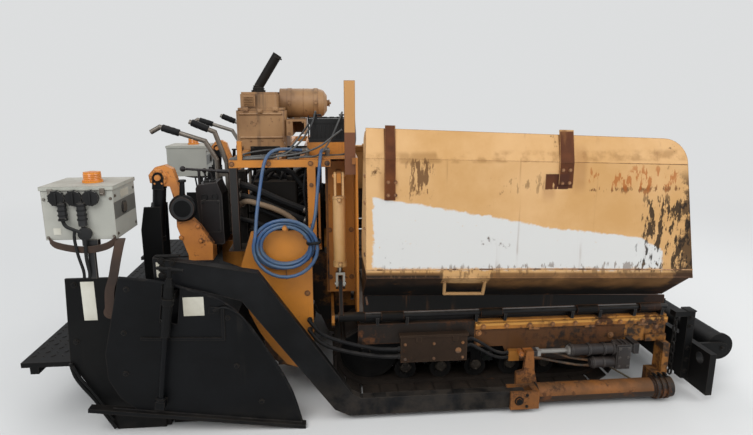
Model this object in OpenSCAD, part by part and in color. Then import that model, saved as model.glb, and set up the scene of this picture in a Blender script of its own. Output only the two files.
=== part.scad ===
// Asphalt paver on tracks, about 8 ft class, with a folding hopper and a towed screed.
// X points along the direction of travel, Y to the machine's left, Z up, in millimetres.
// The origin lies on the ground under the middle of the whole machine.
// Paired pieces are drawn on the left side (+Y) and mirrored for the right side.

/* [Tracks] */
// Distance from the middle of the machine to the middle of a track
track_y = 850; // [800:5:880]
// Width of a track shoe
track_w = 320; // [260:5:330]
// Front idler's centre
idler_x = 1060; // [950:5:1120]
// Drive sprocket's centre
sprocket_x = -170; // [-230:5:-120]
// Rolling radius of sprocket and idler
wheel_r = 168; // [150:1:172]
// Thickness of the link chain round the wheels
link_t = 24; // [16:1:30]
// Thickness of a shoe with its pad
shoe_t = 18; // [12:1:24]
// Number of shoes on a straight run
run_shoes = 12; // [10:1:13]
// Number of shoes round a wheel
arc_shoes = 6; // [5:1:7]
// Radius of a bottom roller
roller_r = 62; // [50:1:75]

/* [Main frame] */
// Inside half width between the inner frame plates
frame_in_y = 628; // [600:1:640]
// Thickness of the frame plates
plate_t = 12; // [8:1:16]
// Outer face of the side skirt
skirt_y = 1050; // [1040:1:1060]
// Front end of the frame plates
frame_front_x = 1500; // [1460:1:1520]
// Height of the frame's underside
belly_z = 232; // [200:1:260]
// Height of the side rail's top edge
rail_z = 432; // [425:1:440]
// Depth of the side rail
rail_h = 34; // [24:1:44]
// Rear face of the hopper's rear wall
bulkhead_x = -244; // [-250:1:-238]
// Top edge of the hopper's rear wall
bulkhead_top_z = 1330; // [1200:5:1380]

/* [Hopper] */
// Height of the wing hinge rods
hinge_z = 497; // [492:1:505]
// Distance from the middle to a hinge rod
hinge_y = 1060; // [1056:1:1064]
// Radius of a hinge rod
hinge_r = 14; // [10:1:16]
// Outer face of a wing's side wall
wing_y = 1280; // [1260:1:1290]
// Rear edge of a wing
wing_rear_x = -216; // [-222:1:-212]
// Front end of a wing's lower edge
wing_front_x = 1463; // [1440:1:1480]
// Thickness of the wing plates
wing_t = 10; // [8:1:14]
// Height of a wing's lower bend at the rear
wing_low_z = 779; // [765:1:790]
// Height of a wing's upper bend at the rear
wing_bend_z = 1366; // [1330:1:1380]
// Height of a wing's top edge at the rear
wing_top_z = 1505; // [1480:1:1520]
// Angle through which a wing folds inward
wing_fold = 50; // [40:1:50]
// Radius of the wing cylinder's barrel
wing_cyl_r = 34; // [28:1:38]
// Height of the wing cylinder's upper pin
wing_cyl_top_z = 1225; // [1215:1:1240]
// Radius of a conveyor end shaft's sprocket
conveyor_r = 70; // [60:1:75]
// Height of the conveyor's shafts
conveyor_z = 372; // [365:1:380]

/* [Push beam and tow links] */
// Rear face of the push beam
beam_x = 1642; // [1630:1:1660]
// Thickness of the push beam
beam_t = 36; // [25:1:45]
// Half width of the push beam
beam_half = 1250; // [1200:5:1270]
// Centre of the push rollers along X
push_roller_x = 1822; // [1800:1:1830]
// Height of the push rollers
push_roller_z = 246; // [220:1:270]
// Radius of a push roller
push_roller_r = 70; // [60:1:76]
// Height of the tow pins
tow_z = 76; // [70:1:90]
// Position of the tow pins along X
tow_x = 590; // [570:1:610]
// Gap between the screed's end and a tow arm
arm_gap = 16; // [10:1:22]
// Width of a tow arm
arm_w = 50; // [40:1:54]

/* [Screed] */
// Front face of the screed
screed_front_x = -830; // [-850:1:-820]
// Depth of the main screed along X
screed_l = 370; // [330:5:380]
// Height of the main screed's box
screed_h = 420; // [380:5:440]
// Half width of the main screed
screed_half = 1180; // [1150:1:1184]
// Rear edge of the walkway
walk_rear_x = -1900; // [-1930:1:-1870]
// Height of the walkway
walk_z = 372; // [350:1:390]
// Gap between a tow arm and an end gate
gate_gap = 16; // [12:1:24]
// Angle at which an end gate hangs nose down
gate_tilt = 8; // [5:0.5:9]
// Distance from the middle to the lift cylinders
lift_y = 830; // [820:1:840]
// Radius of an auger's flights
auger_r = 148; // [130:1:155]
// Position of the auger shaft along X
auger_x = -630; // [-640:1:-620]
// Height of the auger shaft
auger_z = 250; // [235:1:270]

/* [Engine bay and rear deck] */
// Height of the engine bay's upper rails
bay_top_z = 1316; // [1300:1:1325]
// Distance from the middle to the bay's side frames
bay_y = 880; // [860:1:890]
// Height of the rear deck
deck_z = 830; // [815:1:845]
// Rear edge of the rear deck
deck_rear_x = -1150; // [-1180:1:-1130]
// Top of the engine hood
hood_top_z = 1668; // [1640:1:1690]
// Tip of the exhaust pipe
exhaust_z = 1930; // [1880:5:1960]

/* [Hidden] */
seat = 0.3;
run_gap = 0.5;
weld = 2;
$fn = 48;

side_signs = [-1, 1];

track_r = wheel_r + seat + link_t + shoe_t;
track_z = track_r;
frame_out_y = frame_in_y + plate_t;
arm_y = screed_half + arm_gap;
gate_y = arm_y + arm_w + gate_gap;

orange = [0.84, 0.52, 0.15];
tan = [0.84, 0.66, 0.42];
black = [0.10, 0.10, 0.10];
rust = [0.30, 0.18, 0.12];
grey = [0.56, 0.56, 0.52];
steel = [0.60, 0.60, 0.60];
blue = [0.22, 0.40, 0.62];

// An XZ outline made into a plate that starts at y and is t thick outward
module plate_xz(points, y, t) {
    translate([0, y + t, 0]) rotate([90, 0, 0]) linear_extrude(t) polygon(points);
}

// A YZ outline made into a plate that starts at x and is t thick forward
module plate_yz(points, x, t) {
    translate([x, 0, 0]) rotate([90, 0, 90]) linear_extrude(t) polygon(points);
}

// A box given by its low and high corners
module box(low, high) {
    translate(low) cube(high - low);
}

// A box whose upright corners are rounded
module rounded_box(low, high, r) {
    size = high - low;
    translate(low) linear_extrude(size.z) {
        translate([r, 0]) square([size.x - 2 * r, size.y]);
        translate([0, r]) square([size.x, size.y - 2 * r]);
        for (x = [r, size.x - r]) for (y = [r, size.y - r]) translate([x, y]) circle(r);
    }
}

// A round bar from one point to another
module bar(from, to, r) {
    v = to - from;
    length = norm(v);
    translate(from) rotate([0, acos(v.z / length), atan2(v.y, v.x)]) cylinder(h = length, r = r);
}

// A bent tube whose bends are round joints
module bent_tube(points, r) {
    for (i = [0 : len(points) - 2]) bar(points[i], points[i + 1], r);
    for (i = [1 : len(points) - 2]) translate(points[i]) sphere(r + 0.5);
}

// A cylinder along Y from y0 to y1
module round_y(x, z, r, y0, y1) {
    translate([x, y0, z]) rotate([-90, 0, 0]) cylinder(h = y1 - y0, r = r);
}

// A cylinder along X from x0 to x1
module round_x(y, z, r, x0, x1) {
    translate([x0, y, z]) rotate([0, 90, 0]) cylinder(h = x1 - x0, r = r);
}

// What is drawn on the left is put on the side with this sign
module on_side(sign) {
    mirror([0, sign < 0 ? 1 : 0, 0]) children();
}

// What is drawn on the left stands on both sides
module both() {
    for (sign = side_signs) on_side(sign) children();
}

function unit(v) = v / norm(v);

// A smooth curve through four neighbouring points of a route
function curve(a, b, c, d, t) =
    0.5 * (2 * b + (c - a) * t + (2 * a - 5 * b + 4 * c - d) * t * t + (3 * b - a - 3 * c + d) * t * t * t);

function smooth(route, steps) = [
    for (i = [0 : len(route) - 2]) for (k = [0 : steps - 1])
        curve(route[max(i - 1, 0)], route[i], route[i + 1], route[min(i + 2, len(route) - 1)], k / steps),
    route[len(route) - 1]
];

function tangents(path) = [
    for (i = [0 : len(path) - 1]) unit(path[min(i + 1, len(path) - 1)] - path[max(i - 1, 0)])
];

// Normals carried along the path so that the tube doesn't twist
function normals(t, i, last) = i == len(t) ? [] :
    let (m = unit(last - (last * t[i]) * t[i])) concat([m], normals(t, i + 1, m));

// A tube swept along a path, with one radius or one for each point, and a given number of sides
module swept_tube(path, r, sides) {
    function at(i) = is_list(r) ? r[i] : r;
    t = tangents(path);
    first = unit(cross(t[0], abs(t[0].z) < 0.8 ? [0, 0, 1] : [0, 1, 0]));
    n = normals(t, 0, first);
    rings = len(path);
    points = [
        for (i = [0 : rings - 1]) for (j = [0 : sides - 1])
            path[i] + at(i) * (cos(360 * j / sides) * n[i] + sin(360 * j / sides) * cross(t[i], n[i]))
    ];
    walls = [
        for (i = [0 : rings - 2]) for (j = [0 : sides - 1])
            let (k = (j + 1) % sides)
            each [
                [i * sides + j, (i + 1) * sides + j, (i + 1) * sides + k],
                [i * sides + j, (i + 1) * sides + k, i * sides + k]
            ]
    ];
    start = [for (j = [0 : sides - 1]) j];
    end = [for (j = [sides - 1 : -1 : 0]) (rings - 1) * sides + j];
    polyhedron(points, concat([start], walls, [end]));
}

// Tracks

loop_r = wheel_r + seat + link_t - weld;
loop_l = idler_x - sprocket_x;
shoe_gap = 9;
shoe_l = min(loop_l / run_shoes, PI * loop_r / arc_shoes) - shoe_gap;
pad_inset = 12;
link_w = 150;

// Outline of a loop round both wheels
module loop_outline(r) {
    translate([sprocket_x, 0]) circle(r);
    translate([idler_x, 0]) circle(r);
    translate([sprocket_x, -r]) square([loop_l, 2 * r]);
}

// Shoes, drawn below the axis, along half of the loop: a bottom run and the arc round the idler
module half_loop_shoes() {
    for (i = [0 : run_shoes - 1]) translate([sprocket_x + loop_l * i / run_shoes, 0, 0]) shoe();
    for (i = [0 : arc_shoes - 1]) translate([idler_x, 0, 0]) rotate([0, -180 * i / arc_shoes, 0]) shoe();
}

module shoe() {
    plate = (shoe_t + weld) / 2;
    translate([-shoe_l / 2, -track_w / 2, -loop_r - plate]) cube([shoe_l, track_w, plate]);
    translate([-shoe_l / 2 + pad_inset, -track_w / 2 + pad_inset, -loop_r - 2 * plate])
        cube([shoe_l - 2 * pad_inset, track_w - 2 * pad_inset, plate]);
}

module track() {
    translate([0, track_y, track_z]) {
        translate([0, link_w / 2, 0]) rotate([90, 0, 0]) linear_extrude(link_w) difference() {
            loop_outline(loop_r + weld);
            loop_outline(loop_r + weld - link_t);
        }
        half_loop_shoes();
        translate([idler_x + sprocket_x, 0, 0]) rotate([0, 180, 0]) half_loop_shoes();
    }
}

module track_right() { color(rust) on_side(-1) track(); }
module track_left() { color(rust) on_side(1) track(); }

sprocket_w = 60;
tooth_count = 13;
beam_track_w = 150;
beam_track_h = 120;

module track_wheel(x, w) {
    round_y(x, track_z, wheel_r - 12, track_y - w / 2, track_y + w / 2);
    for (side = [-1, 1])
        round_y(x, track_z, wheel_r, track_y + side * w / 3 - 8, track_y + side * w / 3 + 8);
    round_y(x, track_z, 50, frame_out_y, track_y + w / 2 + 30);
}

module sprocket_teeth() {
    for (i = [0 : tooth_count - 1])
        translate([sprocket_x, track_y, track_z]) rotate([0, 360 * i / tooth_count, 0])
            translate([-12, -12, wheel_r - 20]) cube([24, 24, 19]);
}

module track_gear() {
    rollers = 5;
    roller_z = track_z - wheel_r + roller_r;
    color(black) both() {
        track_wheel(idler_x, 90);
        track_wheel(sprocket_x, sprocket_w);
        sprocket_teeth();
        box([sprocket_x, track_y - beam_track_w / 2, track_z - 10],
            [idler_x, track_y + beam_track_w / 2, track_z - 10 + beam_track_h]);
        for (i = [0 : rollers - 1]) {
            x = sprocket_x + loop_l * (i + 1) / (rollers + 1);
            for (side = [-1, 1])
                round_y(x, roller_z, roller_r, track_y + side * 40 - 20, track_y + side * 40 + 20);
            round_y(x, roller_z, 24, track_y - 75, track_y + 75);
            for (side = [-1, 1])
                box([x - 30, track_y + side * 68 - 7, roller_z - 20],
                    [x + 30, track_y + side * 68 + 7, track_z + 10]);
        }
        for (x = [sprocket_x + 330, idler_x - 330]) {
            round_y(x, track_z + wheel_r - 40, 40, track_y - 50, track_y + 50);
            box([x - 60, frame_out_y, track_z], [x + 60, track_y, track_z + 90]);
        }
    }
}

// Main frame

module main_frame() {
    rear_x = -1010;
    side = [
        [frame_front_x, rail_z], [frame_front_x, 330], [1420, belly_z], [-400, belly_z],
        [-480, 430], [-560, 520], [rear_x, 700], [rear_x, deck_z - 8], [-560, deck_z - 8],
        [bulkhead_x - 20, 640], [bulkhead_x - 20, rail_z]
    ];
    color(orange) {
        both() {
            plate_xz(side, frame_in_y, plate_t);
            // sponson over the track, with its outer skirt and rail
            box([bulkhead_x, frame_in_y, rail_z], [frame_front_x, skirt_y, rail_z + 12]);
            plate_xz([
                [398, rail_z], [frame_front_x, rail_z], [frame_front_x, 290], [1120, 290],
                [1060, 196], [600, 196], [560, 290], [398, 290]
            ], skirt_y - plate_t, plate_t);
            box([398, skirt_y, rail_z - rail_h], [frame_front_x, skirt_y + 15, rail_z]);
            box([bulkhead_x, skirt_y - plate_t, 330], [398, skirt_y, rail_z + 12]);
            // front corner post that carries the tow link
            box([1452, skirt_y - plate_t, 130], [1490, post_foot_y, 300]);
            box([1400, skirt_y - plate_t, 20], [1490, post_foot_y, 130]);
            box([1380, frame_out_y, 290], [frame_front_x, skirt_y + 15, 330]);
            // block that the hoses from the side box end on
            box([junction_x, skirt_y - plate_t, 212], [junction_x + 60, skirt_y + 32, 272]);
            // longitudinal stub to the push beam
            box([frame_front_x - 24, 420, 250], [beam_x - seat, 520, 330]);
            // rear end wall of the sponson, which carries the hinge rod's rear end
            plate_yz([
                [frame_out_y, 400], [frame_out_y, 520], [900, 470], [hinge_y - 30, 476],
                [hinge_y - 14, hinge_z + 16],
                [hinge_y + 14, hinge_z + 16], [hinge_y + 16, 470], [hinge_y - 20, 430], [900, 425]
            ], rod_rear_x + 4, 16);
        }
        // belly and cross members
        box([-380, -frame_in_y, belly_z], [1420, frame_in_y, belly_z + 8]);
        for (x = [-300, 300, 900, 1380])
            box([x, -frame_in_y, belly_z], [x + 40, frame_in_y, belly_z + 50]);
        box([frame_front_x - 24, -frame_in_y, 250], [frame_front_x, frame_in_y, 330]);
        box([-1008, -frame_in_y, deck_z - 70], [-986, frame_in_y, deck_z - 8]);
        box([-384, -frame_in_y, 594], [-340, frame_in_y, 630]);
    }
}

// Plates outside the engine bay: one beside the auger, one behind the wing cylinder
side_plate_y = 1000;
inner_plate_y = 740;

module side_plates() {
    outer = [
        [-480, 962], [-480, 210], [-560, 190], [-630, 215], [-700, 300], [-765, 400],
        [-815, 510], [-850, 620], [-856, 760], [-790, 962]
    ];
    plate_x = frame_out_y + seat;
    color(orange) both() {
        plate_xz(outer, side_plate_y, plate_t);
        box([-560, plate_x, 690], [-520, side_plate_y, 750]);
        box([-820, plate_x, 740], [-780, side_plate_y, 790]);
        plate_xz([
            [bulkhead_x - 160, 530], [bulkhead_x - seat, 530], [bulkhead_x - seat, 1293],
            [bulkhead_x - 160, 1293]
        ], inner_plate_y, plate_t);
        box([bulkhead_x - 60, plate_x, 560], [bulkhead_x - 30, inner_plate_y, 620]);
        // lug with the wing cylinder's upper pin
        box([cyl_x - 13, inner_plate_y, wing_cyl_top_z - 34],
            [cyl_x + 13, wing_cyl_top_y + 24, wing_cyl_top_z + 20]);
        round_x(wing_cyl_top_y, wing_cyl_top_z, cyl_pin_r, cyl_x - 36, cyl_x + 36);
    }
    // peg that the coiled hose hangs on
    peg_z = coil_at.z + coil_in_r - peg_r - seat;
    color(orange) on_side(-1) {
        box([coil_at.x - 14, side_plate_y, 940], [coil_at.x + 14, side_plate_y + plate_t, peg_z + peg_r]);
        round_y(coil_at.x, peg_z, peg_r, side_plate_y, -coil_at.y + 44);
    }
}

peg_r = 12;

// Hopper

wing_drop = 46;
wing_bend_drop = 50;
wing_top_drop = 70;
knuckle_r = hinge_r + 11;
knuckle_l = 120;
sill_z = rail_z + 12;
knuckle_xs = [-60, 480, 1020, 1380];
rod_front_x = 1484;
rod_rear_x = -388;

module hopper_floor() {
    floor_z = conveyor_z + conveyor_r - 34;
    color(black) {
        // conveyor floor between the frame plates
        box([bulkhead_x - 90, -frame_in_y, floor_z], [1335, frame_in_y, floor_z + 10]);
        box([bulkhead_x + plate_t, -30, floor_z], [frame_front_x, 30, floor_z + 110]);
        both() {
            // sloping sill from the conveyor to the hinge
            plate_yz([
                [560, sill_z], [hinge_y - 40, sill_z], [hinge_y - 40, sill_z + 30], [560, sill_z + 10]
            ], bulkhead_x + plate_t, frame_front_x - bulkhead_x - plate_t);
            round_x(hinge_y, hinge_z, hinge_r, rod_rear_x + 20, rod_front_x);
            for (x = knuckle_xs) for (side = [-1, 1])
                hinge_lug(x + side * (knuckle_l / 2 + 20) - 8);
        }
        // front apron
        box([frame_front_x, -1010, 340], [frame_front_x + 10, 1010, 520]);
        for (y = [-700, 0, 700]) box([frame_front_x + 10, y - 5, 380], [frame_front_x + 60, y + 5, 510]);
    }
}

module hinge_lug(x) {
    plate_yz([
        [hinge_y - 60, sill_z], [hinge_y + 5, sill_z], [hinge_y + 12, hinge_z - 12],
        [hinge_y + 4, hinge_z + 12], [hinge_y - 10, hinge_z + 12]
    ], x, 16);
}

module bulkhead() {
    post_w = 56;
    color(orange) {
        difference() {
            plate_yz([
                [-980, sill_z], [980, sill_z], [980, 900], [940, bulkhead_top_z],
                [-940, bulkhead_top_z], [-980, 900]
            ], bulkhead_x, plate_t);
            for (side = [-1, 1])
                box([bulkhead_x - 1, side > 0 ? 50 : -590, sill_z - 1],
                    [bulkhead_x + plate_t + 1, side > 0 ? 590 : -50, 700]);
        }
        box([bulkhead_x - 20, -940, bulkhead_top_z - 35], [bulkhead_x, 940, bulkhead_top_z]);
        // tall post beside the right wing
        box([bulkhead_x - post_w, -930, 1240], [bulkhead_x, -890, 1723]);
    }
}

module slat_conveyor() {
    front_x = 1400;
    rear_x = -420;
    run = front_x - rear_x;
    chain_t = 16;
    bar_count = 22;
    color(steel) for (sign = side_signs) on_side(sign) {
        for (y = [90, 540])
            translate([0, y + 12, conveyor_z]) rotate([90, 0, 0]) linear_extrude(24) difference() {
                stadium(rear_x, front_x, conveyor_r);
                stadium(rear_x, front_x, conveyor_r - chain_t);
            }
        for (level = [-1, 1]) for (i = [0 : bar_count - 1])
            box([rear_x + run * i / bar_count, 60, conveyor_z + level * conveyor_r - 9 - level * 6],
                [rear_x + run * i / bar_count + 22, 556, conveyor_z + level * conveyor_r + 9 - level * 6]);
        for (x = [rear_x, front_x]) {
            round_y(x, conveyor_z, 22, 20, frame_in_y);
            for (y = [90, 540]) round_y(x, conveyor_z, conveyor_r - chain_t + weld, y - 10, y + 10);
        }
    }
}

module stadium(x0, x1, r) {
    translate([x0, 0]) circle(r);
    translate([x1, 0]) circle(r);
    translate([x0, -r]) square([x1 - x0, 2 * r]);
}

// Hopper wings, drawn upright on the left and turned about the hinge

lever_y = 930;
lever_z = 640;
lever_t = 20;
cyl_x = -332;
cyl_pin_r = 12;
wing_cyl_top_y = 880;
lever_play = 16;

wing_front_lean = 98;
lip_corner_r = 118;
handle_x = 178;
handle_l = 206;
strap_t = 8;
// Each strap's place along the wing, its width and how far it reaches below the bend
straps = [[90, 48, 195], [932, 68, 110]];

// Straps folded over the upper bend
module wing_straps(length, slope, lip_h) {
    for (s = straps) {
        x = wing_rear_x + s[0];
        bend = wing_bend_z - wing_bend_drop * s[0] / length;
        box([x, wing_y - 2, bend - s[2]], [x + s[1], wing_y + strap_t, bend + 2]);
        translate([wing_rear_x, wing_y - wing_t, wing_bend_z]) rotate([0, slope, 0])
            rotate([17, 0, 0]) rotate([90, 0, 0]) translate([s[0], -10, -wing_t - strap_t])
                linear_extrude(strap_t + 2) square([s[1], lip_h + 22]);
    }
}

module wing_body() {
    length = wing_front_x - wing_rear_x;
    wall = [
        [wing_rear_x, wing_low_z], [wing_front_x, wing_low_z - wing_drop],
        [wing_front_x - wing_front_lean, wing_bend_z - wing_bend_drop], [wing_rear_x, wing_bend_z]
    ];
    strip = [
        [wing_rear_x, hinge_z + 22], [wing_front_x, hinge_z + 22],
        [wing_front_x, 584 - 20], [wing_rear_x, 630]
    ];
    bend_slope = atan(wing_bend_drop / length);
    low_slope = atan(wing_drop / length);
    lip_h = wing_top_z - wing_bend_z;
    slope_l = 258;
    corner_x = length - wing_front_lean - lip_corner_r;
    corner_z = lip_h - 16 - lip_corner_r;
    difference() {
        union() {
            plate_xz(wall, wing_y - wing_t, wing_t);
            // lip that leans inward above the upper bend
            translate([wing_rear_x, wing_y - wing_t, wing_bend_z]) rotate([0, bend_slope, 0])
                rotate([17, 0, 0]) rotate([90, 0, 0]) translate([0, 0, -wing_t]) linear_extrude(wing_t)
                    polygon([
                        [0, -4], [length - wing_front_lean, -4],
                        for (a = [0 : 10 : 90])
                            [corner_x + lip_corner_r * cos(a), corner_z + lip_corner_r * sin(a)],
                        [0, lip_h]
                    ]);
            wing_straps(length, bend_slope, lip_h);
            bent_tube([
                [handle_x, wing_y - 30, wing_low_z - 26], [handle_x + 4, wing_y - 54, wing_low_z - 107],
                [handle_x + handle_l - 4, wing_y - 54, wing_low_z - 113],
                [handle_x + handle_l, wing_y - 30, wing_low_z - 32]
            ], 8);
            // undercut floor from the lower bend to the hinge strip
            translate([wing_rear_x, wing_y, wing_low_z]) rotate([0, low_slope, 0])
                rotate([-52, 0, 0]) translate([0, -wing_t, -slope_l])
                    cube([length - 20, wing_t, slope_l + 6]);
            plate_xz(strip, hinge_y - 4, wing_t);
            // rear end plate
            plate_yz([
                [hinge_y, hinge_z + 22], [hinge_y, 630], [wing_y - 8, wing_low_z], [wing_y - 8, wing_bend_z],
                [wing_y - 48, wing_top_z - 20], [wing_y - 130, wing_top_z - 60], [wing_y - 330, 900],
                [hinge_y - 60, hinge_z + 60], [hinge_y - 12, hinge_z + 22]
            ], wing_rear_x, wing_t);
            for (x = knuckle_xs) {
                round_x(hinge_y, hinge_z, knuckle_r, x - knuckle_l / 2, x + knuckle_l / 2);
                box([x - knuckle_l / 2, hinge_y - 4, hinge_z], [x + knuckle_l / 2, hinge_y + 6, hinge_z + 40]);
            }
            // torque tube and lever behind the rear wall
            round_x(hinge_y, hinge_z, knuckle_r, cyl_x - lever_t / 2 - 8, wing_rear_x + wing_t);
            plate_yz([
                [hinge_y + 20, hinge_z - 10], [hinge_y + 20, hinge_z + 20], [lever_y + 36, lever_z + 32],
                [lever_y - 30, lever_z + 32], [lever_y - 38, lever_z - 24], [hinge_y - 20, hinge_z - 14]
            ], cyl_x - lever_t / 2, lever_t);
            round_x(lever_y, lever_z, 44, cyl_x - lever_t / 2, cyl_x + lever_t / 2);
        }
        round_x(hinge_y, hinge_z, hinge_r + run_gap, rod_rear_x, rod_front_x + 10);
        round_x(lever_y, lever_z, cyl_pin_r + lever_play, cyl_x - lever_t, cyl_x + lever_t);
    }
}

module fold(angle) {
    translate([0, hinge_y, hinge_z]) rotate([angle, 0, 0]) translate([0, -hinge_y, -hinge_z]) children();
}

module wing_right() { color(tan) on_side(-1) wing_body(); }
module wing_left() { color(tan) fold(wing_fold) wing_body(); }

// Wing cylinders: the barrel hangs from a bracket, the rod pushes the lever down

// Lever pin's place with the wing folded by an angle
function lever_pin(angle) =
    let (dy = lever_y - hinge_y, dz = lever_z - hinge_z)
    [hinge_y + dy * cos(angle) - dz * sin(angle), hinge_z + dy * sin(angle) + dz * cos(angle)];

yoke_l = 105;

module wing_cylinder(angle, part) {
    pin = lever_pin(angle);
    top = [wing_cyl_top_y, wing_cyl_top_z];
    reach = norm(top - pin);
    lean = atan2(top[0] - pin[0], top[1] - pin[1]);
    closed = norm(top - lever_pin(0));
    barrel_l = closed - 97;
    translate([cyl_x, top[0], top[1]]) rotate([-lean, 0, 0]) {
        if (part == "barrel") cylinder_barrel(barrel_l, wing_cyl_r, 15, 13, cyl_pin_r, yoke_l);
        if (part == "rod") {
            cylinder_rod(reach, closed - yoke_l - 30, wing_cyl_r, 15, 56);
            for (side = [-1, 1]) translate([side * (lever_t / 2 + 9) - 6, 0, -reach]) {
                rotate([0, 90, 0]) cylinder(h = 12, r = 30);
                translate([0, -30, 0]) cube([12, 60, 66]);
            }
            translate([-lever_t / 2 - 15, -30, -reach + 54]) cube([lever_t + 30, 60, 14]);
            translate([-lever_t / 2 - 20, 0, -reach]) rotate([0, 90, 0]) cylinder(h = lever_t + 40, r = cyl_pin_r);
        }
    }
}

// Barrel that hangs from the origin by two ears, with a gland at its open end
module cylinder_barrel(length, r, rod_r, half_gap, pin_r, ear_l) {
    bore_r = r - 7;
    difference() {
        union() {
            translate([0, 0, -length]) cylinder(h = length - ear_l, r = r);
            translate([0, 0, -length]) cylinder(h = 24, r = r + 4);
            for (side = [-1, 1]) {
                translate([side * (half_gap + 8) - 6, 0, 0]) rotate([0, 90, 0]) cylinder(h = 12, r = pin_r + 12);
                translate([side * (half_gap + 8) - 6, -pin_r - 12, -ear_l - 4]) cube([12, 2 * pin_r + 24, ear_l + 4]);
            }
        }
        translate([0, 0, -length + 20]) cylinder(h = length - ear_l - 40, r = bore_r);
        translate([0, 0, -length - 1]) cylinder(h = 40, r = rod_r + run_gap);
        translate([-50, 0, 0]) rotate([0, 90, 0]) cylinder(h = 100, r = pin_r + run_gap);
    }
}

// Rod with its piston inside the barrel, down to a fork or eye at -reach
module cylinder_rod(reach, length, r, rod_r, end_l) {
    translate([0, 0, -reach + end_l]) cylinder(h = length - end_l, r = rod_r);
    translate([0, 0, -reach + length - 20]) cylinder(h = 20, r = r - 7 - run_gap);
}

module wing_barrel_right() { color(tan) on_side(-1) wing_cylinder(0, "barrel"); }
module wing_rod_right() { color(steel) on_side(-1) wing_cylinder(0, "rod"); }
module wing_barrel_left() { color(tan) wing_cylinder(wing_fold, "barrel"); }
module wing_rod_left() { color(steel) wing_cylinder(wing_fold, "rod"); }

// Push beam and rollers

beam_low_z = 44;
beam_high_z = 285;
roller_in_y = 140;
roller_out_y = 1080;
chain_z = 440;
chain_links = 11;
link_pitch = 33;
link_end_r = 13;
link_wire = 7;

// Chain links that hang one through another from the arm
module hanging_chain(x, y) {
    for (i = [0 : chain_links - 1])
        translate([x, y, chain_z + 3 - link_pitch * (i + 0.5)]) rotate([0, 0, 90 * (i % 2)])
            rotate([90, 0, 0]) translate([0, 0, -4]) linear_extrude(8) difference() {
                upright_link(link_end_r);
                upright_link(link_end_r - link_wire);
            }
}

module upright_link(r) {
    reach = link_pitch / 2 + link_wire / 2 - link_end_r;
    for (end = [-1, 1]) translate([0, end * reach]) circle(r);
    translate([-r, -reach]) square([2 * r, 2 * reach]);
}

tie_y = 1170;
tie_z = 230;
tie_r = 32;

module push_beam() {
    color(black) difference() {
        push_beam_body();
        both() round_x(tie_y, tie_z, tie_r, beam_x - 1, beam_x + beam_t + 1);
    }
}

module push_beam_body() {
    union() {
        box([beam_x, -beam_half, beam_low_z], [beam_x + beam_t, beam_half, beam_high_z]);
        both() {
            for (y = [roller_in_y - 20, roller_out_y + 6])
                plate_xz([
                    [beam_x + beam_t, 80], [beam_x + beam_t, beam_high_z - 5], [push_roller_x - 10, push_roller_z + 34],
                    [push_roller_x + 30, push_roller_z + 20], [push_roller_x + 30, push_roller_z - 30],
                    [push_roller_x - 20, push_roller_z - 50]
                ], y, 14);
            round_y(push_roller_x, push_roller_z, 20, roller_in_y - 8, roller_out_y + 8);
            box([frame_front_x + 30, 560, 60], [beam_x, 620, 380]);
            // post with the arm that the safety chain hangs from
            box([beam_x - 42, 1030, beam_low_z + 20], [beam_x + 2, 1090, chain_z + 30]);
            box([beam_x - 116, 1040, chain_z], [beam_x - 20, 1090, chain_z + 30]);
        }
        on_side(-1) hanging_chain(beam_x - 94, 1065);
    }
}

module push_roller() {
    difference() {
        union() {
            round_y(push_roller_x, push_roller_z, push_roller_r, roller_in_y, roller_out_y);
            for (y = [roller_in_y, roller_out_y - 16])
                round_y(push_roller_x, push_roller_z, push_roller_r + 8, y, y + 16);
        }
        round_y(push_roller_x, push_roller_z, 20 + run_gap, roller_in_y - 1, roller_out_y + 1);
    }
}

module push_roller_right() { color(black) on_side(-1) push_roller(); }
module push_roller_left() { color(black) on_side(1) push_roller(); }

// Tow links, their bell cranks and screw actuators

crank_t = 24;
crank_gap = 102;
crank_y = skirt_y + crank_gap;
link_r = 52;
link_y = crank_y + crank_t + 12;
link_front_x = 1400;
post_foot_y = crank_y - 27;

module tow_links() {
    color(orange) both() {
        difference() {
            union() {
                round_x(link_y, tow_z, link_r, tow_x + 90, link_front_x);
                // fork round the tow arm's eye
                for (y = [arm_y - 20, arm_y + arm_w + 4])
                    box([tow_x - 45, y, tow_z - 50], [tow_x + 110, y + 16, tow_z + 50]);
                box([tow_x + 75, min(arm_y - 20, link_y - 12), tow_z - 50],
                    [tow_x + 110, max(arm_y + arm_w + 20, link_y + 12), tow_z + 50]);
                // bell crank up to the actuator
                plate_xz([
                    [tow_x + 10, tow_z - 40], [tow_x + 130, tow_z - 40], [tow_x + 130, 110], [tow_x + 110, 200],
                    [tow_x + 100, 312], [tow_x + 60, 312], [tow_x + 50, 200], [tow_x + 10, 190]
                ], crank_y, crank_t);
            }
        }
        round_y(tow_x, tow_z, 18, arm_y - 26, arm_y + arm_w + 26);
        // front pivot on the corner post
        round_y(link_front_x + 22, tow_z, 24, post_foot_y, link_y);
        round_x(link_y, tow_z, link_r + 4, link_front_x - 40, link_front_x + 70);
        for (x = [-30, 0, 30]) round_x(link_y, tow_z, link_r + 11, link_front_x + x, link_front_x + x + 14);
    }
}

module tow_actuators() {
    y = crank_y - 28;
    z = 285;
    color(grey) both() {
        round_x(y, z, 12, tow_x + 110, 910);
        round_x(y, z, 30, 907, 1165);
        box([1165, y - 36, 176], [1245, y + 36, 318]);
        round_x(y, 206, 30, 1040, 1165);
        box([1245, y - 14, z - 20], [1300, y + 14, z + 20]);
        box([1270, skirt_y, z - 30], [1300, y + 20, z + 30]);
        // clevis at the bell crank
        box([tow_x + 60, y - 16, z - 16], [tow_x + 150, crank_y, z + 16]);
    }
}

// Augers and their drive

auger_end_y = 985;
auger_in_y = 90;

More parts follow.
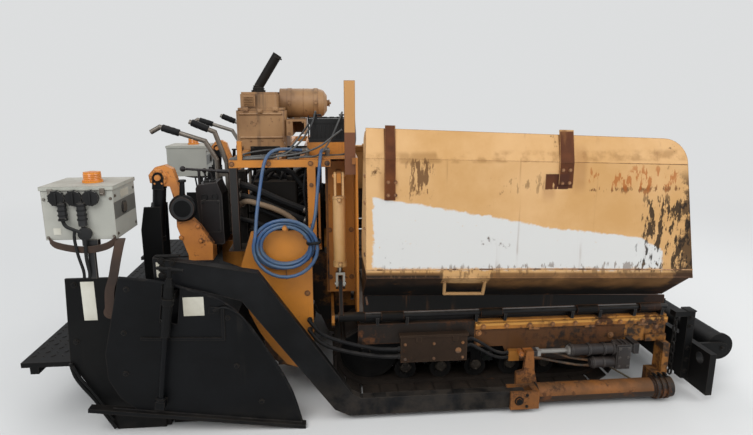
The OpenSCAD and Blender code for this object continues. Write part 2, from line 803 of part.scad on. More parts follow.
module auger_drive() {
    color(orange) {
        // chain case between the augers
        plate_xz([
            [auger_x - 90, auger_z - 60], [auger_x - 40, auger_z - 95], [auger_x + 40, auger_z - 95],
            [auger_x + 90, auger_z - 60], [auger_x + 70, 500], [auger_x + 50, 560], [auger_x - 50, 560],
            [auger_x - 70, 500]
        ], -60, 120);
        box([auger_x - 30, seat - frame_in_y, 560], [auger_x + 30, frame_in_y - seat, 596]);
        round_y(auger_x, auger_z, 30, -auger_end_y, -60);
        round_y(auger_x, auger_z, 30, 60, auger_end_y);
        both() {
            // outer bearing hanger
            box([auger_x - 50, auger_end_y - 14, auger_z - 50], [auger_x + 50, auger_end_y, 620]);
            box([auger_x - 50, frame_out_y + seat, 560], [auger_x + 50, auger_end_y, 620]);
        }
    }
}

flight_pitch = 250;
flight_t = 12;
flight_steps = 16;
auger_tube_r = 46;

// A screw flight round an axis along Y, as one band that climbs from y0 to y1
module screw_flight(y0, y1, r0, r1) {
    rings = floor(flight_steps * (y1 - y0) / flight_pitch);
    points = [
        for (i = [0 : rings])
            let (a = 360 * i / flight_steps, y = y0 + (y1 - y0) * i / rings)
            each [
                [r0 * cos(a), y - flight_t / 2, r0 * sin(a)], [r1 * cos(a), y - flight_t / 2, r1 * sin(a)],
                [r1 * cos(a), y + flight_t / 2, r1 * sin(a)], [r0 * cos(a), y + flight_t / 2, r0 * sin(a)]
            ]
    ];
    walls = [
        for (i = [0 : rings - 1]) for (j = [0 : 3])
            let (k = (j + 1) % 4)
            each [
                [i * 4 + j, (i + 1) * 4 + j, (i + 1) * 4 + k],
                [i * 4 + j, (i + 1) * 4 + k, i * 4 + k]
            ]
    ];
    polyhedron(points, concat([[0, 1, 2, 3]], walls, [[rings * 4 + 3, rings * 4 + 2, rings * 4 + 1, rings * 4]]));
}

module auger() {
    difference() {
        union() {
            round_y(auger_x, auger_z, auger_tube_r, auger_in_y, auger_end_y - 30);
            translate([auger_x, 0, auger_z])
                screw_flight(auger_in_y + 20, auger_end_y - 50, auger_tube_r - 5, auger_r);
        }
        round_y(auger_x, auger_z, 30 + run_gap, 0, auger_end_y);
    }
}

module auger_right() { color(rust) on_side(-1) auger(); }
module auger_left() { color(rust) on_side(1) auger(); }

// Engine bay

module engine() {
    color(black) {
        box([-900, -230, 640], [-420, 230, 1020]);
        box([-880, -170, 620], [-440, 170, 640]);
        box([-880, -190, 1015], [-440, 190, 1100]);
        rounded_box([-870, -130, 1095], [-450, 130, 1160], 30);
        for (x = [-840 : 80 : -480]) box([x, -136, 1095], [x + 16, 136, 1152]);
        // ribs, starter, filter and alternator on the near side
        for (x = [-880 : 76 : -440]) box([x, -238, 680], [x + 18, 238, 980]);
        round_x(-272, 740, 44, -884, -700);
        round_x(-266, 800, 22, -884, -740);
        translate([-610, -274, 730]) cylinder(h = 150, r = 42);
        rounded_box([-660, -320, 880], [-560, -228, 916], 16);
        round_x(-292, 1000, 62, -520, -424);
        round_x(-292, 1000, 50, -424, -404);
        round_x(0, 790, 150, -980, -900);
        for (i = [0 : 3]) round_y(-820 + i * 115, 1080, 26, -300, -190);
        round_y(-700, 1120, 46, -330, 330);
        // fan pulley and radiator at the front
        round_x(0, 900, 150, -420, -390);
        box([-390, -300, 640], [-330, 300, 1240]);
        // feet on the frame
        for (x = [-860, -480])
            box([x, seat - frame_in_y, 660], [x + 50, frame_in_y - seat, 700]);
    }
}

module engine_hood() {
    seat_z = bay_top_z + seat;
    color(tan) difference() {
        union() {
            rounded_box([-948, -300, seat_z], [-640, 280, 1556], 42);
            rounded_box([-938, -292, 1555], [-650, 272, 1572], 38);
            rounded_box([-918, -290, 1572], [-689, 270, hood_top_z - 12], 30);
            rounded_box([-912, -284, hood_top_z - 13], [-695, 264, hood_top_z], 26);
            box([-640, -290, 1400], [-520, 100, 1500]);
        }
        box([-936, -288, seat_z - 1], [-652, 268, 1560]);
        box([-600, -291, 1399], [-530, 60, 1488]);
        // room for the air cleaner behind the near side
        box([-689, -160, 1498], [-639, 281, 1573]);
    }
    color(black) box([-900, -310, 1580], [-822, -290, 1650]);
}

module air_cleaner() {
    y = -60;
    z = 1598;
    color(tan) {
        round_x(y, z, 94, -689 + seat, -440);
        for (x = [-640, -470]) round_x(y, z, 97, x, x + 26);
        translate([-441, y, z]) rotate([0, 90, 0]) cylinder(h = 36, r1 = 94, r2 = 82);
        translate([-406, y, z]) rotate([0, 90, 0]) cylinder(h = 22, r1 = 82, r2 = 50);
        round_x(y, z, 20, -386, -374);
        box([-600, y - 30, 1500 + seat], [-560, y + 30, 1510]);
        box([-440, y - 30, bay_top_z + 8 + seat], [-416, y + 30, 1510]);
    }
}

module exhaust() {
    color(black) {
        bar([-833, -10, hood_top_z + seat], [-833, -10, hood_top_z + 14], 46);
        bar([-833, -10, hood_top_z + seat], [-833, -10, 1712], 32);
        bar([-833, -10, 1700], [-700, -10, exhaust_z - 22], 30);
    }
}

module battery() {
    color(black) {
        rounded_box([-484, -720, 1407], [-274, -480, 1498], 8);
        rounded_box([-488, -724, 1497], [-270, -476, 1522], 10);
        rounded_box([-490, -726, 1395 + seat], [-268, -474, 1410], 6);
        for (x = [-450, -308]) translate([x, -690, 1521]) cylinder(h = 18, r = 9);
        for (x = [-440 : 40 : -320]) translate([x, -600, 1521]) cylinder(h = 8, r = 13);
    }
}

hose_plate_x = -446;

module bay_frame() {
    t = 40;
    color(orange) {
        both() {
            // upper rail, its posts and the sloping rear post
            box([-906, bay_y - t, bay_top_z - t], [bulkhead_x - 130, bay_y, bay_top_z]);
            box([-500, bay_y - t, deck_z], [-455, bay_y, bay_top_z - t]);
            box([-906, bay_y - t, deck_z], [-866, bay_y, bay_top_z - t]);
            box([-930, frame_in_y, deck_z - 8 + seat], [-430, bay_y, deck_z]);
            box([-860, bay_y - 20, bay_top_z], [-835, bay_y, bay_top_z + 100]);
            // plate that the hoses end on
            box([hose_plate_x, 650, deck_z - 4], [hose_plate_x + plate_t, bay_y - t - 2, 1130]);
        }
        for (x = [-906, -680, -500]) box([x, -bay_y + t, bay_top_z - t], [x + t, bay_y - t, bay_top_z]);
        box([-540, 10 - bay_y, bay_top_z], [bulkhead_x - 22, bay_y - 10, bay_top_z + 8]);
        box([-500, -740, bay_top_z + 8], [-270, -460, 1395]);
    }
}

module tanks() {
    color(black) both() {
        rounded_box([-800, frame_out_y + 10, deck_z + seat], [-560, inner_plate_y, tank_top_z], 14);
        translate([-590, frame_out_y + 50, tank_top_z - 1]) cylinder(h = 26, r = 30);
        // valve bank behind the tank
        box([-928, frame_out_y + 20, deck_z + seat], [-842, inner_plate_y, 1240]);
        for (z = [880 : 60 : 1200]) box([-934, frame_out_y + 28, z], [-926, inner_plate_y - 8, z + 36]);
        box([-843, frame_out_y + 30, 860], [-799, inner_plate_y - 20, 900]);
    }
}

tank_top_z = 1180;

module side_boxes() {
    color(rust) both() {
        box([side_box_x, skirt_y, 232], [side_box_x + side_box_l, skirt_y + side_box_t, 378]);
        box([side_box_x - 6, skirt_y, 377], [side_box_x + side_box_l + 6, skirt_y + side_box_t + 6, 389]);
        for (x = [70, 270]) box([x, skirt_y + side_box_t - 1, 350], [x + 26, skirt_y + side_box_t + 5, 378]);
    }
}

// Rear deck, console, rails and lift posts

post_t = 50;
deck_gap = 65;
deck_half = lift_y - post_t / 2 - deck_gap;

module rear_deck() {
    color(black) {
        box([deck_rear_x, -deck_half, deck_z - 8 + seat], [-986, deck_half, deck_z]);
        both() box([deck_rear_x, deck_half - 40, deck_z - 60], [-1010, deck_half, deck_z - 8]);
        box([deck_rear_x, -deck_half, deck_z - 60], [deck_rear_x + 30, deck_half, deck_z - 8]);
        box([-1040, -deck_half, deck_z - 60], [-1010, deck_half, deck_z - 8]);
    }
}

module console() {
    top = 1165;
    color(grey) {
        plate_xz([
            [-975, deck_z + seat], [-975, 1110], [-1000, top + 14], [-1108, top], [-1116, top - 20], [-1096, deck_z + seat]
        ], -deck_half, 180);
        box([-1090, -deck_half - 6, 900], [-990, -deck_half + 2, 1080]);
    }
    color(black) {
        for (x = [-1066, -1030]) {
            bar([x, 60 - deck_half, top], [x - 8, 60 - deck_half, top + 70], 6);
            translate([x - 8, 60 - deck_half, top + 74]) sphere(14);
        }
        // cross handle on its stem
        bar([-1098, 30 - deck_half, top - 10], [-1098, 30 - deck_half, top + 82], 8);
        bar([-1180, 30 - deck_half, top + 88], [-934, 30 - deck_half, top + 70], 7);
        bar([-1000, 30 - deck_half, top + 75], [-934, 30 - deck_half, top + 70], 11);
        translate([-1184, 30 - deck_half, top + 88]) sphere(16);
    }
}

module handrails() {
    color(steel) both() {
        bent_tube([[-1036, 500, deck_z], [-1036, 500, 1277], [-1098, 500, 1388], [-1346, 500, 1470], [-1400, 500, 1440]], 14);
        bent_tube([[-980, 500, deck_z + 8], [-980, 500, 1260], [-1040, 500, 1440], [-1180, 500, 1500]], 14);
        box([-1045, 490, 1180], [-972, 510, 1200]);
    }
}

lift_pin_r = 16;
boss_x = -1275;
boss_z = 1228;

module lift_posts() {
    profile = [
        [deck_rear_x, deck_z - 30], [-1020, deck_z - 30], [-1017, 860], [-1080, 960], [-1135, 1020],
        [-1150, 1110], [-1180, 1200],
        [-1200, 1270], [-1240, 1292], [-1290, 1280], [-1325, 1240], [-1320, 1200], [-1285, 1184],
        [-1218, 1178], [-1200, 1120], [-1198, 1080], [-1200, 960]
    ];
    color(orange) both() {
        plate_xz(profile, lift_y - post_t / 2, post_t);
        round_y(boss_x, boss_z, lift_pin_r, lift_y - post_t / 2 - 24, lift_y + post_t / 2 + 24);
        box([deck_rear_x, deck_half + seat, deck_z - 60], [-1020, lift_y + post_t / 2, deck_z]);
    }
    color(black) both() round_y(-1156, 1065, 60, lift_y + post_t / 2, lift_y + post_t / 2 + 40);
}

// Hydraulic hoses on the right side, each with its radius and its two ends held by fittings

bank_y = -inner_plate_y - seat;
plate_end = hose_plate_x - seat;
plate_face = -side_plate_y - plate_t - seat;
side_box_x = -16;
side_box_l = 364;
side_box_t = 36;
junction_x = 585;
hoses = [
    [18, [[-886, bank_y, 1178], [-886, -782, 1178], [-800, -806, 1158], [-660, -812, 1092], [-530, -806, 1036],
        [-482, -800, 1024], [plate_end, -800, 1024]]],
    [18, [[-886, bank_y, 1112], [-886, -780, 1112], [-800, -806, 1098], [-660, -812, 1036], [-530, -806, 976],
        [-482, -800, 962], [plate_end, -800, 962]]],
    [14, [[-886, bank_y, 984], [-886, -780, 984], [-800, -800, 966], [-660, -806, 906], [-540, -800, 866],
        [-482, -796, 858], [plate_end, -796, 858]]],
    [14, [[-780, bank_y, 1040], [-780, -776, 1040], [-700, -790, 1004], [-600, -790, 952], [-530, -788, 914],
        [-482, -790, 905], [plate_end, -790, 905]]],
    [14, [[-740, -696, tank_top_z + seat], [-740, -696, 1214], [-690, -716, 1250], [-600, -750, 1238],
        [-530, -764, 1160], [-484, -760, 1090], [plate_end, -760, 1090]]],
    [11, [[-500, plate_face, 470], [-500, -1040, 470], [-430, -1066, 402], [-300, -1072, 352], [-150, -1072, 314],
        [-60, -1068, 304], [side_box_x - seat, -1068, 304]]],
    [11, [[-500, plate_face, 415], [-500, -1042, 415], [-432, -1067, 349], [-302, -1073, 303], [-152, -1073, 271],
        [-62, -1069, 261], [side_box_x - seat, -1069, 261]]],
    [9, [[side_box_x + side_box_l + seat, -1068, 350], [380, -1068, 350], [440, -1070, 316], [500, -1068, 274],
        [548, -1067, 256], [junction_x - seat, -1067, 256]]],
    [9, [[side_box_x + side_box_l + seat, -1068, 312], [380, -1068, 312], [440, -1070, 276], [500, -1068, 242],
        [548, -1067, 228], [junction_x - seat, -1067, 228]]]
];
fitting_wall = 4;

// Each hose is one tube that widens to a fitting at both ends
module hydraulic_hoses() {
    color(black) for (hose = hoses) {
        r = hose[0];
        route = hose[1];
        last = len(route) - 1;
        out = unit(route[1] - route[0]);
        back = unit(route[last - 1] - route[last]);
        fitting_l = 1.1 * r;
        middle = smooth([
            route[0] + (fitting_l + 5) * out, each [for (i = [1 : last - 1]) route[i]],
            route[last] + (fitting_l + 5) * back
        ], 4);
        path = [
            route[0], route[0] + fitting_l * out, route[0] + (fitting_l + 1) * out, each middle,
            route[last] + (fitting_l + 1) * back, route[last] + fitting_l * back, route[last]
        ];
        fitting_r = r + fitting_wall;
        swept_tube(path, [fitting_r, fitting_r, r, each [for (p = middle) r], r, fitting_r, fitting_r], 8);
    }
}

// Screed and tow arms

module tow_arms() {
    color(black) both() difference() {
        union() {
            plate_xz([
                [-1220, 903], [-739, 815], [-286, 150], [-240, 124], [tow_x - 60, 124], [tow_x - 40, 116],
                [tow_x + 40, 116], [tow_x + 40, 36], [tow_x - 60, 28], [-300, 28], [-376, 66],
                [-819, 673], [-1000, 730], [-1220, 789]
            ], arm_y, arm_w);
            // lugs to the screed's end frame
            box([-1190, screed_half, 200], [-1100, arm_y + 10, 860]);
        }
        round_y(tow_x, tow_z, 18 + run_gap, arm_y - 1, arm_y + arm_w + 1);
    }
}

module screed() {
    rear = screed_front_x - screed_l;
    color(black) {
        // box with a rounded nose
        plate_xz([
            [screed_front_x - 30, 0], [screed_front_x - 4, 30], [screed_front_x, 90], [screed_front_x - 40, 200],
            [screed_front_x - 60, 320], [screed_front_x - 90, screed_h], [rear, screed_h], [rear, 0]
        ], -screed_half, 2 * screed_half);
        // gusset towers round the lift posts, with the pin for the lift rod
        both() {
            for (y = [gusset_in_y, gusset_out_y])
                plate_xz([
                    [rear, 300], [screed_front_x - 120, screed_h - 5], [-1270, 600], [-1262, 1080], [-1345, 1080],
                    [-1368, 960], [-1368, 560], [rear - 60, screed_h + 20], [rear - 10, 300]
                ], y, gusset_t);
            round_y(lift_pin[0], lift_pin[1], lift_pin_r, gusset_in_y, gusset_out_y + gusset_t);
        }
    }
}

gusset_t = 12;
gusset_in_y = lift_y - 62;
gusset_out_y = lift_y + 70;

// Guide tubes carry each extension in plates under the walkway
guide_r = 30;
guide_zs = [110, 250];
guide_x = screed_front_x - screed_l - 90;
holder_y = 560;
holder_t = 40;

module walkway() {
    rear = screed_front_x - screed_l;
    color(black) {
        box([walk_rear_x + 60, -600, walk_z - 40], [rear, 600, walk_z]);
        both() difference() {
            box([rear - 180, holder_y, 40], [rear, holder_y + holder_t, walk_z - 40]);
            for (z = guide_zs) round_y(guide_x, z, guide_r + run_gap, holder_y - 1, holder_y + holder_t + 1);
        }
    }
}

ext_front_x = screed_front_x - screed_l - 12;
ext_in_y = holder_y + holder_t + 40;
ext_end_y = screed_half + 20;

module extension() {
    color(black) {
        // strike-off box behind the main screed, on its guide tubes
        box([ext_front_x - 200, ext_in_y, 0], [ext_front_x, ext_end_y, 300]);
        for (z = guide_zs) round_y(guide_x, z, guide_r, 50, ext_in_y + 20);
        // step and end plate
        box([walk_rear_x, ext_in_y, walk_z - 25], [ext_front_x - 180, ext_end_y, walk_z]);
        box([walk_rear_x + 40, ext_in_y, walk_z - 60], [walk_rear_x + 80, ext_end_y, walk_z - 25]);
        box([ext_front_x - 200, ext_in_y, 300], [ext_front_x - 180, ext_end_y, walk_z - 25]);
        plate_xz([
            [ext_front_x - 20, 0], [ext_front_x - 20, 640], [-1290, 760], [-1400, 800], [-1640, 800],
            [-1660, 370], [-1560, 200], [-1470, 0]
        ], ext_end_y, end_plate_t);
        // arm and sleeve that hold the end gate's jack
        box([-1300, ext_end_y, 700], [-1250, gate_y - 12, 735]);
        box([-1300, gate_y - 40, 700], [-1120, gate_y - 12, 735]);
        box([-1165, gate_y - 14, 700], [-1120, jack_y - jack_r - 3, 735]);
        gate_place() difference() {
            union() {
                translate([jack_x, jack_y, 440]) cylinder(h = 250, r = jack_r + sleeve_t);
                translate([jack_x, jack_y, 600]) cylinder(h = 30, r = jack_r + sleeve_t + 6);
                translate([jack_x, jack_y, 689]) cylinder(h = 40, r1 = jack_r + sleeve_t, r2 = jack_r);
                translate([jack_x, jack_y, 700]) cylinder(h = 80, r = 9);
                translate([jack_x, jack_y, 772]) rotate([0, 90, 0]) translate([0, 0, -60]) cylinder(h = 120, r = 8);
            }
            translate([jack_x, jack_y, 439]) cylinder(h = 241, r = jack_r + 1);
        }
    }
}

end_plate_t = 14;
gate_t = 12;
gate_nose_x = -527;
jack_x = -1240;
jack_r = 13;
sleeve_t = 10;
jack_gap = 5;
panel_frame_t = 8;
jack_y = gate_y + gate_t + panel_frame_t + jack_gap + sleeve_t + jack_r;

module extension_right() { on_side(-1) extension(); }
module extension_left() { on_side(1) extension(); }

knob_xs = [-1630, -1555, -1480];
knob_r = 36;

module control_box() {
    face = ext_end_y;
    back = ext_end_y - 300;
    color(grey) {
        box([-1706, back + 5, 987], [-1386, face, 1222]);
        box([-1711, back, 1221], [-1381, face + 6, 1239]);
    }
    color(black) {
        box([-1520, face - 4, 800], [-1490, face + 14, 988]);
        box([-1540, face - 20, 960], [-1470, face + 14, 988]);
        // switches, the two sockets under them and the plug beside these
        for (x = knob_xs) {
            round_y(x, 1188, 14, face - 2, face + 14);
            round_y(x, 1188, knob_r, face + 12, face + 24);
        }
        translate([-1611, face + 17, 1095]) cylinder(h = 70, r = 18);
        translate([-1526, face + 18, 1057]) cylinder(h = 108, r = 19);
        round_y(-1518, 1020, 27, face - 2, face + 26);
        round_x(face - 120, 1120, 30, -1387, -1378);
    }
    color(orange) translate([-1521, face - 130, 1238]) {
        cylinder(h = 12, r = 46);
        translate([0, 0, 11]) cylinder(h = 40, r = 39);
    }
}

module control_box_right() { on_side(-1) control_box(); }
module control_box_left() { on_side(1) control_box(); }

// Hangs what is drawn level nose down about the skid's front tip
module gate_place() {
    translate([gate_nose_x, 0, 0]) rotate([0, gate_tilt, 0]) translate([-gate_nose_x, 0, 0]) children();
}

module end_gate() {
    face_y = gate_y + gate_t;
    color(black) gate_place() {
        difference() {
            plate_xz([
                [-547, 18], [-629, 202], [-771, 404], [-905, 558], [-1028, 636], [-1147, 664], [-1300, 690],
                [-1480, 690], [-1520, 300], [-1500, 170], [-1440, 80], [-1350, 18]
            ], gate_y, gate_t);
            // notch that the jack's arm passes through
            box([jack_x - 38, gate_y - 1, 490], [jack_x + 44, face_y + 1, 700]);
        }
        box([-1580, gate_y - 10, 0], [gate_nose_x, gate_y + 36, 20]);
        // screw jack and its foot
        translate([jack_x, jack_y, 60]) cylinder(h = 510, r = jack_r);
        box([jack_x - 22, face_y - 1, 60], [jack_x + 22, jack_y + 16, 100]);
        // frame round the gate's upper panel
        plate_xz([[-1360, 392], [-980, 429], [-980, 443], [-1360, 406]], face_y - 1, panel_frame_t + 1);
        plate_xz([[-980, 429], [-966, 431], [-985, 592], [-999, 591]], face_y - 1, panel_frame_t + 1);
    }
}

module end_gate_right() { on_side(-1) end_gate(); }
module end_gate_left() { on_side(1) end_gate(); }

// Lift cylinders, from the post's boss to a pin between the gusset plates

lift_pin = [-1330, 640];
lift_length = norm(lift_pin - [boss_x, boss_z]);
lift_lean = atan2(boss_x - lift_pin[0], boss_z - lift_pin[1]);
lift_play = 9;
lift_cyl_r = 34;

module lift_cylinder(part) {
    translate([boss_x, lift_y, boss_z]) rotate([0, lift_lean, 0]) rotate([0, 0, 90]) {
        if (part == "barrel") cylinder_barrel(345, lift_cyl_r, 16, post_t / 2, lift_pin_r, 60);
        if (part == "rod") difference() {
            union() {
                cylinder_rod(lift_length, lift_length - 295, lift_cyl_r, 16, 20);
                translate([-20, 0, -lift_length]) rotate([0, 90, 0]) cylinder(h = 40, r = 38);
            }
            translate([-21, 0, -lift_length]) rotate([0, 90, 0]) cylinder(h = 42, r = lift_pin_r + lift_play);
        }
    }
}

module lift_barrel_right() { color(black) on_side(-1) lift_cylinder("barrel"); }
module lift_rod_right() { color(steel) on_side(-1) lift_cylinder("rod"); }
module lift_barrel_left() { color(black) on_side(1) lift_cylinder("barrel"); }
module lift_rod_left() { color(steel) on_side(1) lift_cylinder("rod"); }

// Blue hose that hangs coiled on the right side

blue_r = 9;
coil_at = [-613, -1050, 890];
coil_in_r = 116;
coil_out_r = 150;
coil_w = 50;

module blue_hose_coil() {
    color(blue) translate(coil_at) rotate([90, 0, 0]) rotate_extrude()
        translate([coil_in_r, -coil_w / 2]) square([coil_out_r - coil_in_r, coil_w]);
}

// Two leads from the coil over the bay's rail to fittings on the plate on top of it
blue_start = coil_out_r + blue_r + seat;
blue_routes = [
    [[coil_at.x + blue_start * cos(20), -1050, coil_at.z + blue_start * sin(20)], [-452, -1022, 1040],
        [-446, -950, 1200], [-440, -905, 1310], [-420, -860, 1352], [-396, -800, 1366], [-390, -780, 1336]],
    [[coil_at.x - blue_start * cos(20), -1050, coil_at.z + blue_start * sin(20)], [-766, -1012, 1040],
        [-730, -940, 1200], [-700, -905, 1310], [-650, -860, 1352], [-530, -800, 1368], [-500, -780, 1336]]
];

module blue_hose_lead() {
    color(blue) for (route = blue_routes) {
        end = route[len(route) - 1];
        swept_tube(smooth(route, 4), blue_r, 8);
        translate([end.x, end.y, bay_top_z + 8 + seat]) cylinder(h = 18, r = blue_r + 4);
    }
}

main_frame();
side_plates();
hopper_floor();
bulkhead();
slat_conveyor();
track_right();
track_left();
track_gear();
push_beam();
push_roller_right();
push_roller_left();
tow_links();
tow_actuators();
auger_drive();
auger_right();
auger_left();
engine();
engine_hood();
air_cleaner();
exhaust();
battery();
bay_frame();
tanks();
rear_deck();
console();
handrails();
lift_posts();
hydraulic_hoses();
side_boxes();
wing_right();
wing_left();
wing_barrel_right();
wing_rod_right();
wing_barrel_left();
wing_rod_left();
tow_arms();
screed();
walkway();
extension_right();
extension_left();
control_box_right();
control_box_left();
end_gate_right();
end_gate_left();
lift_barrel_right();
lift_rod_right();
lift_barrel_left();
lift_rod_left();
blue_hose_coil();
blue_hose_lead();
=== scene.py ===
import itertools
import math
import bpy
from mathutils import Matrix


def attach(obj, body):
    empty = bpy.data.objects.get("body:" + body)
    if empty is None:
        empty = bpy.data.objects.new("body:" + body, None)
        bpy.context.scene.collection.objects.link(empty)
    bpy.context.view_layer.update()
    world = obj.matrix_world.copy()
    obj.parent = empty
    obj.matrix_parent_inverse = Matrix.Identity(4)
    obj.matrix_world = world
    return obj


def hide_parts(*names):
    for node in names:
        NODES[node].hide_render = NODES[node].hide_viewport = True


bl_info = {
    "name": "Asphalt Paver Finish",
    "version": (1, 0, 0),
    "blender": (4, 5, 0),
    "location": "3D Viewport > Sidebar > Paver",
    "description": "Finishes and details for the frame of a tracked asphalt paver",
    "category": "Object",
}

import bmesh
import bpy
from mathutils import Matrix, Vector

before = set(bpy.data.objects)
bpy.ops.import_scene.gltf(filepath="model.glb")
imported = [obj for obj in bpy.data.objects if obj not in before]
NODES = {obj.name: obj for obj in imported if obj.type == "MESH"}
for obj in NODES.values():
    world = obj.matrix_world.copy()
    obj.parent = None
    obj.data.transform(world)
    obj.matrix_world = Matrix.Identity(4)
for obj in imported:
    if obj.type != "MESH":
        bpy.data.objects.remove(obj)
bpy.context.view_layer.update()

RIGHT, LEFT = -1, 1
SIDE = {RIGHT: "right", LEFT: "left"}
X, Y, Z, BACK, NEAR = (1, 0, 0), (0, 1, 0), (0, 0, 1), (-1, 0, 0), (0, -1, 0)

# The wing's hinge in metres, and how the left wing and the end gates stand at rest
HINGE_Y, HINGE_Z = 1.060, 0.497
WING_FOLD = math.radians(50)
GATE_TILT = math.radians(8)
GATE_NOSE = Vector((-0.527, 0, 0))

# Outer faces that trim sits on, in millimetres from the middle
WING_FACE, ARM_FACE, PLATE_FACE, GATE_FACE, BOX_FACE = 1288, 1246, 1214, 1274, 1200
# Centres of what turned trim goes round, in millimetres
FRONT_WHEEL_X, REAR_WHEEL_X, WHEEL_Z, ROLLER_Z, ROLLERS = 1060, -170, 285, 119, 5
LINK_Y, LINK_Z, ACTUATOR_Y, ACTUATOR_Z, MOTOR_Z = 1188, 76, 1124, 285, 206
COIL_X, COIL_Z = -613, 890
JACK_X, JACK_Y = -1240, 1310
DECK_Z = 372
# The wing cylinder's pins in millimetres, the lower one where it is on the upright wing
UPPER_PIN, LOWER_PIN = Vector((-332, 880, 1225)), Vector((-332, 930, 640))
# Tread plate: the pitch of its bars in millimetres, a bar's ends and height in metres, its width to its length
TREAD_PITCH, BAR_FOOT, BAR_TOP, BAR_H, BAR_SLIM = 46, 0.0155, 0.009, 0.003, 0.34
WASHER_H, LABEL_H = 2.4, 1.6
SMOOTH_ANGLE = math.radians(35)


# Mesh helpers


def mm(*values):
    """Millimetres as metres."""
    return Vector([v / 1000 for v in values])


def put(bm, verts, matrix):
    """Moves vertices by a matrix."""
    bmesh.ops.transform(bm, matrix=matrix, verts=verts)


def edges_of(verts):
    return list({e for v in verts for e in v.link_edges})


def fresh(bm, old):
    """The vertices that have come since the old ones were listed."""
    return [v for v in bm.verts if v not in old]


def bevel_edges(bm, edges, width, segments=2):
    """Rounds edges and returns the vertices of the rounding."""
    out = bmesh.ops.bevel(bm, geom=edges, offset=width / 1000, segments=segments, profile=0.5, affect="EDGES",
        clamp_overlap=True, material=-1)
    return list({v for f in out["faces"] for v in f.verts})


def add_box(bm, low, high, bevel=0.0, segments=2):
    """A box between two corners in millimetres, with rounded edges."""
    low, high = mm(*low), mm(*high)
    made = bmesh.ops.create_cube(bm, size=1.0)["verts"]
    put(bm, made, Matrix.Translation((low + high) / 2) @ Matrix.Diagonal((*(high - low), 1)))
    return bevel_edges(bm, edges_of(made), bevel, segments) if bevel else made


def axis_matrix(start, along):
    """Carries the Z axis to a point and turns it along a direction."""
    return Matrix.Translation(start) @ along.to_track_quat("Z", "Y").to_matrix().to_4x4()


def add_bar(bm, start, end, r, r2=None, segments=20, bevel=0.0):
    """A round bar between two points in millimetres. It tapers to r2 where that is given."""
    start, along = mm(*start), mm(*end) - mm(*start)
    made = bmesh.ops.create_cone(bm, cap_ends=True, segments=segments, radius1=r / 1000,
        radius2=(r if r2 is None else r2) / 1000, depth=along.length)["verts"]
    put(bm, made, axis_matrix(start, along) @ Matrix.Translation((0, 0, along.length / 2)))
    if bevel:
        bevel_edges(bm, [e for e in edges_of(made) if len(e.link_faces) == 2
            and any(len(f.verts) > 4 for f in e.link_faces)], bevel)


def add_ball(bm, centre, r):
    made = bmesh.ops.create_uvsphere(bm, u_segments=24, v_segments=14, radius=r / 1000)["verts"]
    put(bm, made, Matrix.Translation(mm(*centre)))


def add_lathe(bm, profile, start, along, steps=28):
    """A turned form: pairs of distance and radius in millimetres, from a point along a direction."""
    old = set(bm.verts)
    verts = [bm.verts.new((r / 1000, 0, d / 1000)) for d, r in profile]
    edges = [bm.edges.new(pair) for pair in zip(verts, verts[1:])]
    bmesh.ops.spin(bm, geom=verts + edges, cent=(0, 0, 0), axis=Z, angle=math.tau, steps=steps, use_merge=True,
        use_duplicate=False)
    bmesh.ops.remove_doubles(bm, verts=fresh(bm, old), dist=1e-6)
    put(bm, fresh(bm, old), axis_matrix(mm(*start), Vector(along)))


def add_ring(bm, start, along, inner, outer, width, steps):
    """A square ring round a tube."""
    add_lathe(bm, [(0, inner), (0, outer), (width, outer), (width, inner)], start, along, steps)


def add_bolts(bm, spots, r, h, out=Y):
    """Hexagon heads with washers at points in millimetres, on a face that looks along a unit direction."""
    out = Vector(out)
    for at in map(Vector, spots):
        seat = at + out * WASHER_H
        add_bar(bm, at, seat, r * 1.45, segments=16)
        add_bar(bm, seat, seat + out * h, r, segments=6, bevel=1.2)


def grid(*spans):
    """Every point whose x, y and z are out of these. Each is one number or several."""
    return list(itertools.product(*(span if hasattr(span, "__iter__") else (span,) for span in spans)))


def around(centre, r, angles):
    """Points on a circle that looks along Y, at some angles or at a number of even steps."""
    if isinstance(angles, int):
        angles = [k * math.tau / angles for k in range(angles)]
    x, y, z = centre
    return [(x + r * math.cos(a), y, z + r * math.sin(a)) for a in angles]


def smooth_route(route, steps=6):
    """A smooth curve through the points of a route, in millimetres."""
    pts = [Vector(p) for p in route]
    out = []
    for i in range(len(pts) - 1):
        a, b, c, d = pts[max(i - 1, 0)], pts[i], pts[i + 1], pts[min(i + 2, len(pts) - 1)]
        for k in range(steps):
            t = k / steps
            out.append(0.5 * (2 * b + (c - a) * t + (2 * a - 5 * b + 4 * c - d) * t * t
                + (3 * b - a - 3 * c + d) * t * t * t))
    return out + [pts[-1]]


def round_curve(name, path, r, resolution):
    """A curve object with a round section along a path in millimetres."""
    data = bpy.data.curves.new(name, "CURVE")
    data.dimensions = "3D"
    data.bevel_depth = r / 1000
    data.bevel_resolution = resolution
    data.use_fill_caps = True
    spline = data.splines.new("POLY")
    spline.points.add(len(path) - 1)
    for point, at in zip(spline.points, path):
        point.co = (*(at / 1000), 1)
    spline.use_smooth = True
    return bpy.data.objects.new(name, data)


def add_hose(bm, route, r, resolution=4, steps=6):
    """A round hose, wire or bead along a smooth route in millimetres."""
    temp = round_curve("route", smooth_route(route, steps), r, resolution)
    curve, mesh = temp.data, bpy.data.meshes.new_from_object(temp)
    old = set(bm.verts)
    bm.from_mesh(mesh)
    bpy.data.objects.remove(temp)
    bpy.data.curves.remove(curve)
    bpy.data.meshes.remove(mesh)
    bmesh.ops.remove_doubles(bm, verts=fresh(bm, old), dist=1e-6)


